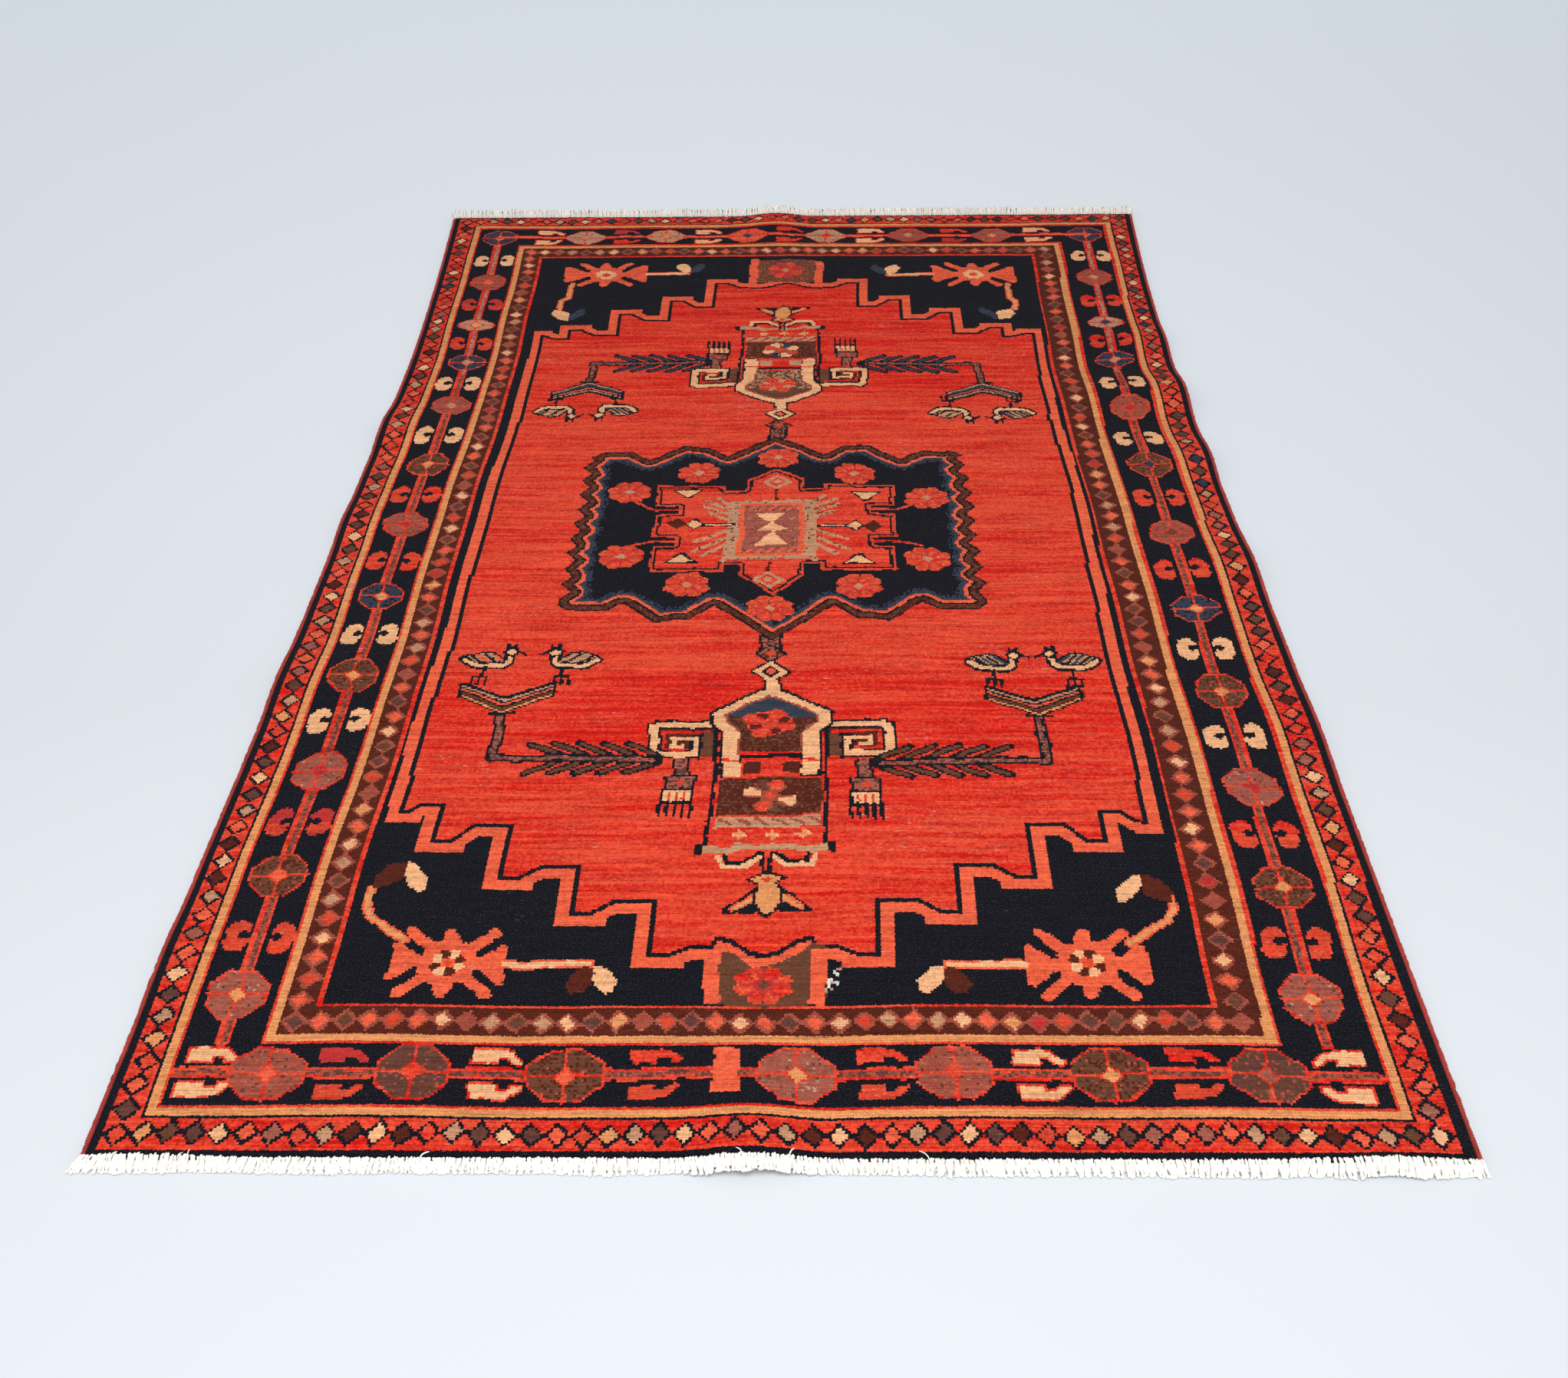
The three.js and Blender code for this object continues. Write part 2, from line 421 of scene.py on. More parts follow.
# Wools of the small lozenges, in the order they are knotted.
OUTER_WOOLS = (
    CREAM, DUSK, SALMON, BROWN, EMBER, ORANGE, OLIVE, TAN, DUSK, CREAM, MAUVE, SALMON,
    MAUVE, EMBER, SALMON, TAN, BROWN, OLIVE, CREAM, BROWN, RED, SALMON, TAN, DUSK, OLIVE,
)
GUARD_WOOLS = (
    DUSK, SALMON, OLIVE, CREAM, SALMON, EMBER, DUSK, SALMON, CREAM, RUST, EMBER, TAN,
    OLIVE, SALMON, TAN, CREAM, DUSK, SALMON, ORANGE, RUST, CRIMSON, EMBER,
)
# The row of knots past which some of the brown lozenges are blue.
BLUE_FROM = 330
LOZENGE_RIM = 1.6

# Rows of lozenges: start, end, steps, half sizes, and where in the order of wools the row begins.
OUTER_ROWS = (
    ((7.9, 9.2), (7.9, 714.6), 75, 4.9, 4.9, 0),
    ((431.7, 9.2), (433.5, 714.6), 75, 4.9, 4.9, 9),
    ((7.9, 9.2), (431.7, 9.2), 51, 4.5, 5.2, 4),
    ((7.9, 714.6), (433.5, 714.6), 49, 4.6, 4.9, 13),
)
GUARD_ROWS = (
    ((54.5, 55.0), (54.5, 668.0), 65, 4.8, 4.8, 3),
    ((378.3, 55.0), (382.0, 668.0), 65, 4.8, 4.8, 11),
    ((54.5, 55.0), (378.3, 55.0), 38, 4.6, 4.9, 0),
    ((54.5, 668.0), (382.0, 668.0), 37, 4.6, 4.9, 7),
)


def lozenge_row(brush, row, wools, rim):
    """A row of small stepped lozenges, each inside a darker rim."""
    start, end, steps, half_a, half_b, shift = row
    for k in range(steps + 1):
        part = k / steps
        a = start[0] + (end[0] - start[0]) * part
        b = start[1] + (end[1] - start[1]) * part
        # Two wools are passed over in every seven, so that the order does not look regular.
        wool = wools[(k * 7 // 5 + shift) % len(wools)]
        if b > BLUE_FROM and wool == BROWN and k % 2:
            wool = BLUE
        brush.nested(a, b, (half_a, half_b, rim), (half_a - LOZENGE_RIM, half_b - LOZENGE_RIM, wool))


def paint_lozenges(brush):
    """Lozenge rows of the outer border and of the inner guard stripe."""
    for rows, wools, rim in ((OUTER_ROWS, OUTER_WOOLS, NAVY), (GUARD_ROWS, GUARD_WOOLS, RUST)):
        for row in rows:
            lozenge_row(brush, row, wools, rim)


# Knots of other wools that are mixed into a wool where it fills a rosette, and their share.
FLECKS = {
    MAUVE: ((RUST, 0.24), (PALE, 0.03), (DUSK, 0.06)),
    RUST: ((MAUVE, 0.16), (DUSK, 0.07)),
    OLIVE: ((BROWN, 0.22), (RUST, 0.06)),
    DUSK: ((OLIVE, 0.22), (RUST, 0.12)),
    BLUE: ((NAVY, 0.14), (DUSK, 0.04)),
    PALE: ((TAN, 0.30), (MAUVE, 0.10)),
    TAN: ((PALE, 0.25), (OLIVE, 0.06)),
    SALMON: ((EMBER, 0.25),),
    EMBER: ((SALMON, 0.16), (RED, 0.16)),
}


def mix_flecks(brush, outline, wool):
    """Gives a filled shape the mixed tone of uneven yarn."""
    for other, share in FLECKS.get(wool, ()):
        brush.fleck(outline, wool, other, share)


# One row of knots, drawn a little wide so that no knot is missed, and the rim of a border rosette.
ONE_KNOT = 1.05
ROSETTE_RIM = 0.85
BLUNT_CUT = (0.40, 0.40)
POINTED_CUT = (0.30, 0.16)


def block_rosette(brush, half_a, half_b, ground, heart, cut=BLUNT_CUT):
    """A cut-corner block in four quarters with a small heart."""
    outline = eight_sided(half_a - ROSETTE_RIM, half_b - ROSETTE_RIM, *cut)
    brush.area(eight_sided(half_a, half_b, *cut), RED)
    brush.area(outline, ground)
    mix_flecks(brush, outline, ground)
    brush.line([(0, -half_b), (0, half_b)], ONE_KNOT, RED)
    brush.line([(-half_a, 0), (half_a, 0)], ONE_KNOT, RED)
    brush.nested(0, 0, (4.2, 4.2, RED), (3.2, 3.2, heart))


COMMA_LEAF = (
    (-1.2, -7.6), (2.4, -7.2), (4.4, -4.0), (4.4, 3.0), (2.6, 6.4), (0.0, 7.8), (-2.4, 7.0),
    (-4.4, 4.4), (-4.4, 1.6), (-1.8, 2.6), (-0.2, 1.4), (-0.2, -0.6), (-2.2, -1.6), (-4.4, -0.2),
    (-4.4, -4.2), (-3.2, -6.6),
)


# Wool that runs out within a leaf and is followed by another.
LEAF_ENDS = {RED: EMBER, CRIMSON: EMBER, EMBER: RED}


def comma_pair(brush, wool):
    """Two curled leaves on either side of a stem, their notches towards it."""
    for flip in (1, -1):
        leaf = brush.at(8.2 * flip, 0, flip=flip)
        leaf.area(COMMA_LEAF, wool)
        if wool in LEAF_ENDS:
            leaf.fleck([(-5, -8), (5, -8), (5, -1.5), (-5, 0.5)], wool, LEAF_ENDS[wool], 0.8)


HOOKED_LEAF = (
    (0.0, 0.0), (0.0, 5.8), (9.5, 5.8), (13.0, 4.8), (17.0, 1.0), (16.4, -0.2), (13.8, 0.2),
    (12.0, 2.4), (8.4, 2.4), (8.8, 0.0),
)


def hooked_pair(brush, upper, lower):
    """Two hooked leaves above and below a level stem."""
    for turn, wool in ((1, upper), (-1, lower)):
        leaf = brush.at(0, 4.4 * turn, turn=turn)
        if wool == CREAM:
            leaf.line(HOOKED_LEAF, 1.4, RED, closed=True)
        leaf.area(HOOKED_LEAF, wool)


# Side borders: place along, half height, ground and heart of each rosette, and place and wool of
# each pair of leaves.
LEFT_ROSETTES = (
    (66.5, 11.0, MAUVE, ORANGE), (124.5, 10.8, OLIVE, SALMON), (182.0, 11.0, MAUVE, CRIMSON),
    (242.0, 11.5, OLIVE, ORANGE), (301.0, 9.8, BLUE, ORANGE), (359.5, 10.5, RUST, CRIMSON),
    (415.0, 10.3, OLIVE, ORANGE), (474.0, 10.5, RUST, TAN), (523.5, 8.6, BLUE, TAN),
    (569.0, 7.0, PALE, ORANGE), (626.0, 10.5, RUST, SALMON), (689.5, 10.5, BLUE, ORANGE),
)
RIGHT_ROSETTES = (
    (66.0, 11.0, MAUVE, ORANGE), (118.0, 10.8, OLIVE, ORANGE), (173.0, 11.0, MAUVE, CRIMSON),
    (233.0, 11.5, OLIVE, ORANGE), (291.0, 9.8, BLUE, ORANGE), (351.0, 10.5, RUST, OLIVE),
    (411.0, 10.3, OLIVE, BLUE), (469.0, 10.5, RUST, CRIMSON), (524.0, 8.6, BLUE, TAN),
    (568.0, 7.0, PALE, BLUE), (628.0, 10.5, RUST, TAN), (690.0, 10.5, BLUE, ORANGE),
)
LEFT_LEAVES = (
    (93, EMBER), (153, CRIMSON), (213, CREAM), (272, CREAM), (329, EMBER), (387, RED),
    (442, CREAM), (499, CREAM), (546, RED), (596, CRIMSON), (656, CREAM),
)
RIGHT_LEAVES = (
    (91, EMBER), (146, RED), (203, CREAM), (262, CREAM), (320, RED), (382, EMBER),
    (438, CREAM), (494, CREAM), (545, RED), (596, RED), (658, CREAM),
)
# Column of each side stem at the near and at the far end, and the widths of a stem and of its core.
LEFT_STEM = (31.5, 31.8)
RIGHT_STEM = (404.5, 411.0)
STEM = 4.8
STEM_CORE = 2.0
STEM_FLECKS = 0.45


def on_stem(stem, along):
    """The place of a side stem, which slants a little, at a row."""
    return stem[0] + (stem[1] - stem[0]) * along / ROWS, along


def paint_side_borders(brush, ruled):
    """Stem, rosettes and leaf pairs of the two long borders."""
    for stem, rosettes, leaves in (
        (LEFT_STEM, LEFT_ROSETTES, LEFT_LEAVES),
        (RIGHT_STEM, RIGHT_ROSETTES, RIGHT_LEAVES),
    ):
        for low, high, wool, other in ((46, 510, RUST, DUSK), (510, 690, MAUVE, PALE)):
            ends = [on_stem(stem, low), on_stem(stem, high)]
            ruled.edged(ends, STEM, RED, STEM_CORE, wool)
            band = [(a + out, b) for a, b in ends for out in (-STEM_CORE, STEM_CORE)]
            brush.fleck([band[0], band[1], band[3], band[2]], wool, other, STEM_FLECKS)
        for along, half_b, ground, heart in rosettes:
            block_rosette(brush.at(*on_stem(stem, along)), 10.8, half_b, ground, heart)
        for along, wool in leaves:
            comma_pair(brush.at(*on_stem(stem, along)), wool)


# End borders: place across, ground and heart of each rosette, and place, upper and lower wool of
# each pair of leaves.
NEAR_ROSETTES = (
    (49.5, RUST, SALMON), (98.5, DUSK, RED), (150.0, OLIVE, SALMON), (226.5, MAUVE, ORANGE),
    (279.0, RUST, EMBER), (331.0, OLIVE, ORANGE), (383.0, DUSK, MAUVE),
)
NEAR_LEAVES = (
    (21, CREAM, CREAM), (66.5, CRIMSON, EMBER), (118.5, CREAM, CREAM), (171.5, RED, EMBER),
    (247, RED, EMBER), (299.5, CREAM, CREAM), (351, RED, EMBER),
)
FAR_ROSETTES = (
    (87.0, PALE, TAN), (139.5, TAN, ORANGE), (193.0, SALMON, BLUE), (243.0, TAN, RED),
    (296.0, RUST, PALE), (350.5, MAUVE, ORANGE),
)
FAR_LEAVES = (
    (56, CREAM, CREAM), (105.5, CRIMSON, RED), (159, CREAM, CREAM), (211.5, RED, RED),
    (263.5, CREAM, CREAM), (317.5, RED, CRIMSON), (371.5, CREAM, CREAM),
)


def paint_end_borders(brush):
    """Stem, rosettes and hooked leaves of the two short borders."""
    near = brush.at(0, 33.0)
    near.edged([(20, 0), (418, 0)], STEM, RED, STEM_CORE, RUST)
    near.fleck_box(19, -2, 419, 2, RUST, DUSK, STEM_FLECKS)
    for across, ground, heart in NEAR_ROSETTES:
        block_rosette(near.at(across, 0), 13.0, 11.0, ground, heart)
    for across, upper, lower in NEAR_LEAVES:
        hooked_pair(near.at(across, 0), upper, lower)
    hooked_pair(near.at(415.5, 0, flip=-1), CREAM, CREAM)
    near.box(198.8, -8.2, 207.8, 10.6, SALMON)
    far = brush.at(0, 690.3)
    far.edged([(31, 0), (411, 0)], 3.6, RED, 1.6, SALMON)
    for across, ground, heart in FAR_ROSETTES:
        block_rosette(far.at(across, 0), 13.6, 10.0, ground, heart, POINTED_CUT)
    for across, upper, lower in FAR_LEAVES:
        hooked_pair(far.at(across, 0), upper, lower)


# Stepped corners, from the middle outwards: distance of the riser from the middle line, then the
# low and the high tread.
NEAR_STEPS = ((41, 85, 89), (71, 105, 111), (100, 123, 129), (129, 142, 151))
FAR_STEPS = ((44, 622, 616), (70, 599, 591), (100, 582, 574), (129, 563, 556))
NEAR_MIDDLE = 215
FAR_MIDDLE = 218
TREAD_FLAT = 7
TREAD_SLOPE = 8
FIELD_EDGE = 11.2
FIELD_LINE = 2.0


def stepped_edge(steps, arch):
    """Half of a stepped field edge from the side to the middle: distance from the middle, along."""
    points = []
    for k in reversed(range(len(steps))):
        riser, low, high = steps[k]
        inner = steps[k - 1][0] if k else arch[0][0]
        points += [(riser, low), (riser - TREAD_FLAT, low)]
        points += [(riser - TREAD_FLAT - TREAD_SLOPE, high), (inner, high)]
    return points + list(arch)


NEAR_ARCH = ((19, 89), (17, 93), (12, 92), (5, 86), (0, 85))
FAR_ARCH = ((28, 616), (16, 615), (10, 617), (5, 620), (0, 621))


# The long sides of the field, wavering as the rows were knotted.
FIELD_LEFT = (
    (73.5, 556), (73.2, 540), (72.6, 470), (72.2, 420), (71.6, 380), (71.6, 330), (71.2, 280),
    (69.8, 240), (68.8, 200), (70.2, 158),
)
FIELD_RIGHT = (
    (361.2, 152), (361.8, 200), (362.0, 270), (363.4, 320), (364.4, 380), (365.0, 420),
    (363.4, 460), (364.6, 510), (364.8, 556),
)


def field_outline():
    """The closed edge of the red field."""
    near = stepped_edge(NEAR_STEPS, NEAR_ARCH)
    far = stepped_edge(FAR_STEPS, FAR_ARCH)
    near_left = [(73, 158), (77, 162), (NEAR_MIDDLE - NEAR_STEPS[-1][0], 162)]
    near_right = [(NEAR_MIDDLE + NEAR_STEPS[-1][0], 158), (352, 158), (357, 153)]
    far_right = [(361, 556), (351, 552), (FAR_MIDDLE + FAR_STEPS[-1][0], 552)]
    far_left = [(FAR_MIDDLE - FAR_STEPS[-1][0], 552), (81, 552)]
    return (
        list(FIELD_LEFT)
        + near_left
        + [(NEAR_MIDDLE - a, b) for a, b in near]
        + [(NEAR_MIDDLE + a, b) for a, b in reversed(near)]
        + near_right
        + list(FIELD_RIGHT)
        + far_right
        + [(FAR_MIDDLE + a, b) for a, b in far]
        + [(FAR_MIDDLE - a, b) for a, b in reversed(far)]
        + far_left
    )


def paint_field(brush):
    """The red field with its salmon edge and dark line."""
    outline = field_outline()
    brush.line(outline, FIELD_EDGE, SALMON, closed=True, square=True)
    brush.area(outline, RED)
    brush.line(outline, FIELD_LINE, NAVY, closed=True, square=True)


# Shares of a round flower's half sizes: its rim, where petals stand and how large they are, where the
# seams between them start and end, and the size of the heart both ways.
PETALS = 8
PETAL_RIM = 0.84
PETAL = (0.68, 0.34)
INSET_PETAL = (0.56, 0.22)
PETAL_SEAM = (0.3, 0.8)
HEART_RIM = (0.28, 0.30)
HEART = (0.24, 0.26)


def petal_rosette(brush, half_a, half_b, petals, rim, heart, seam=CRIMSON, inset=False):
    """A round flower of petals in turn of the wools given, with seams between them and a heart.

    Where inset is set, the petals after the first wool are small and lie inside the rim.
    """
    brush.disc(0, 0, half_a * PETAL_RIM, half_b * PETAL_RIM, rim)
    for k in range(PETALS):
        angle = 2 * math.pi * (k + 0.5) / PETALS
        wool = petals[k % len(petals)]
        away, size = INSET_PETAL if inset and wool != petals[0] else PETAL
        a, b = away * half_a * math.cos(angle), away * half_b * math.sin(angle)
        brush.disc(a, b, half_a * size, half_b * size, wool)
    for k in range(PETALS):
        angle = 2 * math.pi * k / PETALS
        a, b = half_a * math.cos(angle), half_b * math.sin(angle)
        brush.line([(part * a, part * b) for part in PETAL_SEAM], ONE_KNOT, seam)
    brush.disc(0, 0, half_a * HEART_RIM[0], half_b * HEART_RIM[1], rim)
    brush.diamond(0, 0, half_a * HEART[0], half_b * HEART[1], heart)
    for wool in petals:
        mix_flecks(brush, eight_sided(half_a, half_b), wool)


def paint_end_panels(brush):
    """The small flowered panels between the corners at both ends."""
    near = brush.at(NEAR_MIDDLE, 62.4)
    near.area(
        [(-20, 0), (23, 0), (23, 26.5), (17, 28.5), (12, 23), (0, 17.5), (-6, 18), (-12, 25),
         (-17, 25), (-20, 22)],
        OLIVE,
    )
    for low, high in ((-20.4, -14.8), (17.2, 22.8)):
        near.box(low, 0, high, 25.6, SALMON)
    near.area(
        [(-14.8, 0), (17.2, 0), (17.2, 23.5), (12, 23.5), (6, 18), (-4, 18), (-10, 24), (-14.8, 24)],
        OLIVE,
    )
    petal_rosette(near.at(0.8, 9.6), 10.5, 8.6, (EMBER, RED), CRIMSON, OLIVE)
    # A worn spot beside the panel, where the cotton shows.
    chance = brush.chart.chance
    for _ in range(14):
        across, along = chance.uniform(238, 242), chance.uniform(69, 78.5)
        brush.diamond(across, along, 0.9, 0.9, BARE if chance.random() < 0.75 else PALE)
    far = brush.at(217.5, 621.0)
    far.box(-18, 1.5, 18, 33, OLIVE)
    far.fleck_box(-18, 1, 18, 33, OLIVE, RUST, 0.25)
    far.box(-23, -4.5, -17.8, 35, SALMON)
    far.box(17.5, -4.5, 22.5, 31, SALMON)
    petal_rosette(far.at(-1, 18), 11.0, 11.0, (CRIMSON, EMBER), RED, TAN)


def corner_flower(brush, fan, stem_end, inner, outer, outer_stem, outer_at):
    """A spread flower with a level stem, a climbing stem and a pair of leaves on each."""
    for a, b in ((15.5, 14.5), (-15, 14), (-15, -14.5), (15.5, -14)):
        brush.line([(0, 0), (a, b)], 4.4, SALMON)
    for half in brush.both_sides():
        half.area(
            [(8, 3), (12, 3), (fan * 0.9, fan * 0.42), (fan, fan * 0.40), (fan, -fan * 0.43),
             (fan * 0.88, -fan * 0.43), (12, -3), (8, -3)],
            SALMON,
        )
    for turn in (1, -1):
        bud = brush.at(0, 0, turn=turn)
        bud.area(mirrored([(4, 8), (3, 13), (1.2, 16)]), SALMON)
    brush.area(eight_sided(10.0, 9.6, 0.6, 0.5), SALMON)
    for k in range(8):
        angle = math.pi * (k + 0.5) / 4
        wool = (inner, CREAM)[k % 2]
        brush.disc(4.6 * math.cos(angle), 4.6 * math.sin(angle), 2.1, 2.1, wool)
    brush.diamond(0, 0, 2.4, 2.4, EMBER)
    brush.line([(fan, 0.2), (stem_end, 0)], 4.2, SALMON)
    brush.line([(fan, 0.2), (stem_end - 0.8, 0)], 2.5, CREAM)
    leaf = brush.at(stem_end, 0)
    leaf.area([(-2, -1), (1.5, -2), (1.5, -9), (-2, -13), (-6, -13.2), (-8.4, -9.5), (-6, -5)], inner)
    leaf.area([(1.5, -1), (6, -2), (10.5, -8.5), (9.6, -13), (7, -14), (4, -11), (1.5, -7)], outer)
    brush.edged(outer_stem, 3.8, SALMON, 2.2, ORANGE)
    leaf = brush.at(*outer_at)
    leaf.area([(-9.5, 1), (-10.6, 7), (-7, 13), (-2, 15), (0.2, 15), (0.2, 6), (-3.5, 3)], inner)
    leaf.area([(0.2, 15.2), (3, 14.4), (9.6, 7), (10.4, 1), (8, -0.4), (4, 3), (0.2, 9)], outer)


def paint_corner_flowers(brush):
    """One flower in each stepped corner."""
    near_stem = [(-17, 9.5), (-32, 21.5), (-34, 26), (-33.4, 35)]
    corner_flower(brush.at(102, 81), 21, 51.5, BROWN, CREAM, near_stem, (-23.4, 34))
    corner_flower(brush.at(329.5, 80.5, flip=-1), 22, 49, BROWN, CREAM, near_stem, (-24.5, 29))
    far_stem = [(-20, 13), (-20, 32), (-24, 36), (-23, 46)]
    corner_flower(brush.at(104, 636, turn=-1), 26, 52, CREAM, BLUE, far_stem, (-17.5, 46))
    corner_flower(brush.at(334.5, 633.5, flip=-1, turn=-1), 26, 54, CREAM, BLUE, far_stem, (-11.5, 45))


# Half outlines of the medallion and of its inner panel, from its middle.
MEDALLION_LOW = (
    (99, -61), (95, -65), (77, -66), (69, -60), (54, -75), (38, -73), (27.5, -62.5), (0.6, -88),
)
MEDALLION_HIGH = (
    (0.6, 85), (26, 67), (36, 76), (50, 77), (66, 62.5), (76, 70.5), (93, 70), (98.5, 66),
)
PANEL_HALF = (
    (0, -54), (15.5, -38.5), (15.5, -30), (23.5, -30), (23.5, -36), (58.5, -36), (58.5, -16),
    (48, -15), (48, -8.5), (60, -7.5), (60, 12), (48, 13), (48, 19), (60, 19.5), (60, 38.5),
    (25, 38.5), (25, 34.5), (14.5, 34.5), (14.5, 44), (0, 53),
)
MEDALLION_FLOWERS = (
    (1, 63.5), (-39.5, 51), (40.5, 49), (-74, 32), (76, 26.5), (-73, -23), (73.5, -26),
    (-40.5, -46.5), (41, -48.5), (-1.5, -64),
)
TEETH = 10
TOOTH_INNER = 95.0
TOOTH_OUTER = 99.8
# A stand-in number for knots that become blue or navy by chance.
SHADOW = 99


def medallion_outline():
    """The medallion's closed edge, with a row of teeth at each side."""
    low, high = MEDALLION_LOW[0][1], MEDALLION_HIGH[-1][1]
    teeth = []
    for k in range(TEETH):
        middle = high + (low - high) * (k + 0.5) / TEETH
        step = (high - low) / TEETH * 0.25
        teeth += [(TOOTH_INNER, middle + step), (TOOTH_OUTER, middle - step)]
    return mirrored(list(MEDALLION_HIGH) + teeth + list(MEDALLION_LOW))


def paint_medallion(brush):
    """The dark medallion in the middle with its flowers and its inner panel."""
    middle = brush.at(214.3, 356)
    middle.bands(
        medallion_outline(),
        ((1.1, NAVY), (2.7, BROWN), (1.1, NAVY), (1.7, SALMON), (1.9, BLUE), (1.8, SHADOW), (9, NAVY)),
    )
    for wool, other, share in ((BROWN, OLIVE, 0.4), (SHADOW, BLUE, 0.45), (SHADOW, NAVY, 1.0)):
        middle.fleck_box(-100, -90, 100, 90, wool, other, share)
    for a, b in MEDALLION_FLOWERS:
        petal_rosette(middle.at(a, b), 11.2, 9.8, (EMBER,), RED, TAN)
    for half in middle.both_sides():
        half.line([(73, 24), (60, 16), (48, 16)], 1.6, RED)
        half.line([(72, -15), (60, -11.5), (48, -11.5)], 1.6, RED)
    middle.bands(mirrored(PANEL_HALF), ((1.5, EMBER), (1.2, NAVY), (9, RED)))
    paint_sunburst(middle.at(-1.6, -0.4))
    for a, b, turn in ((-44, 34, -1), (45.5, 31, -1), (-43.5, -28, 1), (41.5, -30, 1)):
        triangle = middle.at(a, b, turn=turn)
        triangle.area([(-8.4, -1.4), (8.4, -1.4), (1.2, 7.6), (-1.2, 7.6)], NAVY)
        triangle.area([(-6.4, 0), (6.4, 0), (0.8, 5.8), (-0.8, 5.8)], CREAM)
    for a, b, stem in ((0.8, 41, 25), (-1.6, -42, -28)):
        middle.line([(a, b), (a, stem)], 1.6, BROWN)
        middle.nested(a, b, (8, 6.6, TAN), (5, 4.2, RED), (2.4, 2.2, TAN))
    for side, b in ((-1, 4), (1, 1)):
        bar = middle.at(0, b, flip=side)
        bar.line([(21, 0), (37, 0)], 2.6, NAVY)
        bar.line([(22, 0), (36, 0)], 1.0, CREAM)
        bar.nested(40, 0, (5.2, 5.2, NAVY), (3.8, 3.8, CREAM))
        bar.diamond(49, 0, 5.2, 5.2, BROWN)


# Rays of one side of the sunburst, start and end: in its far half and in its near half.
SUN_RAYS = {
    1: (((21, 21), (26, 27.5)), ((21, 17.5), (32, 25)), ((21, 13), (33.5, 20.5)), ((21, 8), (31, 14.5))),
    -1: (((20, 21), (22, 27)), ((21, 12.5), (31.5, 22.5)), ((21, 7), (37, 19)), ((21, 1), (37, 10.5))),
}


def paint_sunburst(brush):
    """The rayed panel in the very middle."""
    for flip in (-1, 1):
        for turn, rays in SUN_RAYS.items():
            corner = brush.at(0, 0, flip=flip, turn=turn)
            for start, end in rays:
                corner.line([start, end], 2.4, TAN)
    brush.area(eight_sided(22.2, 25.0, 0.88, 0.90), TAN)
    brush.fleck_box(-38, -28, 38, 28, TAN, OLIVE, 0.10)
    brush.area(eight_sided(16.4, 22.6, 0.86, 0.90), SALMON)
    panel = [(-13.6, -20), (13.4, -20), (13.4, 20.4), (-13.6, 20.4)]
    brush.area(panel, MAUVE)
    mix_flecks(brush, panel, MAUVE)
    for low in (16.6, -19.4):
        for k in range(5):
            brush.line([(-11.5 + 5 * k, low), (-8.5 + 5 * k, low + 2.8)], 1.3, SALMON)
    shapes = (
        [(-8.2, 14), (7.6, 14), (4.8, 11), (1.4, 7.2), (-2.2, 7.2), (-6.0, 11)],
        [(-1.0, 5.8), (1.0, 5.8), (3.6, 2.8), (8.2, -1.0), (-8.8, -1.0), (-4.0, 2.8)],
        [(-0.8, -3.2), (0.8, -3.2), (3.6, -6.6), (8.0, -13.4), (-8.0, -13.4), (-4.0, -6.6)],
    )
    for outline in shapes:
        brush.line(outline, 1.9, RUST, closed=True)
    brush.line([(0, 9), (0, -6)], 1.8, CREAM)
    for outline in shapes:
        brush.area(outline, CREAM)


def paint_lily(brush):
    """A pointed bud between two leaves, on a small diamond with two stems."""
    for leaf in brush.both_sides():
        leaf.line([(1.4, -14), (1.4, -3.6)], 1.5, NAVY)
        leaf.area([(3.6, 3), (16.4, 14.2), (16.8, 16.4), (4.4, 16.8)], NAVY)
        leaf.line([(3.4, 7.4), (12.6, 14.0)], 3.2, SALMON)
        leaf.line([(3.4, 7.6), (11.8, 13.8)], 1.7, ORANGE)
    brush.diamond(0, 0, 8.2, 4.6, NAVY)
    brush.area(mirrored([(3.6, 1.8), (5.8, 7), (5.6, 12.6), (3.2, 17), (0.8, 19.4)]), NAVY)
    brush.diamond(0, 0, 6.0, 3.2, ORANGE)
    brush.area(mirrored([(2.6, 1), (4.4, 7), (4.3, 12.2), (2.4, 16), (0.6, 17.8)]), ORANGE)
    brush.diamond(0, 0, 2.2, 1.6, EMBER)


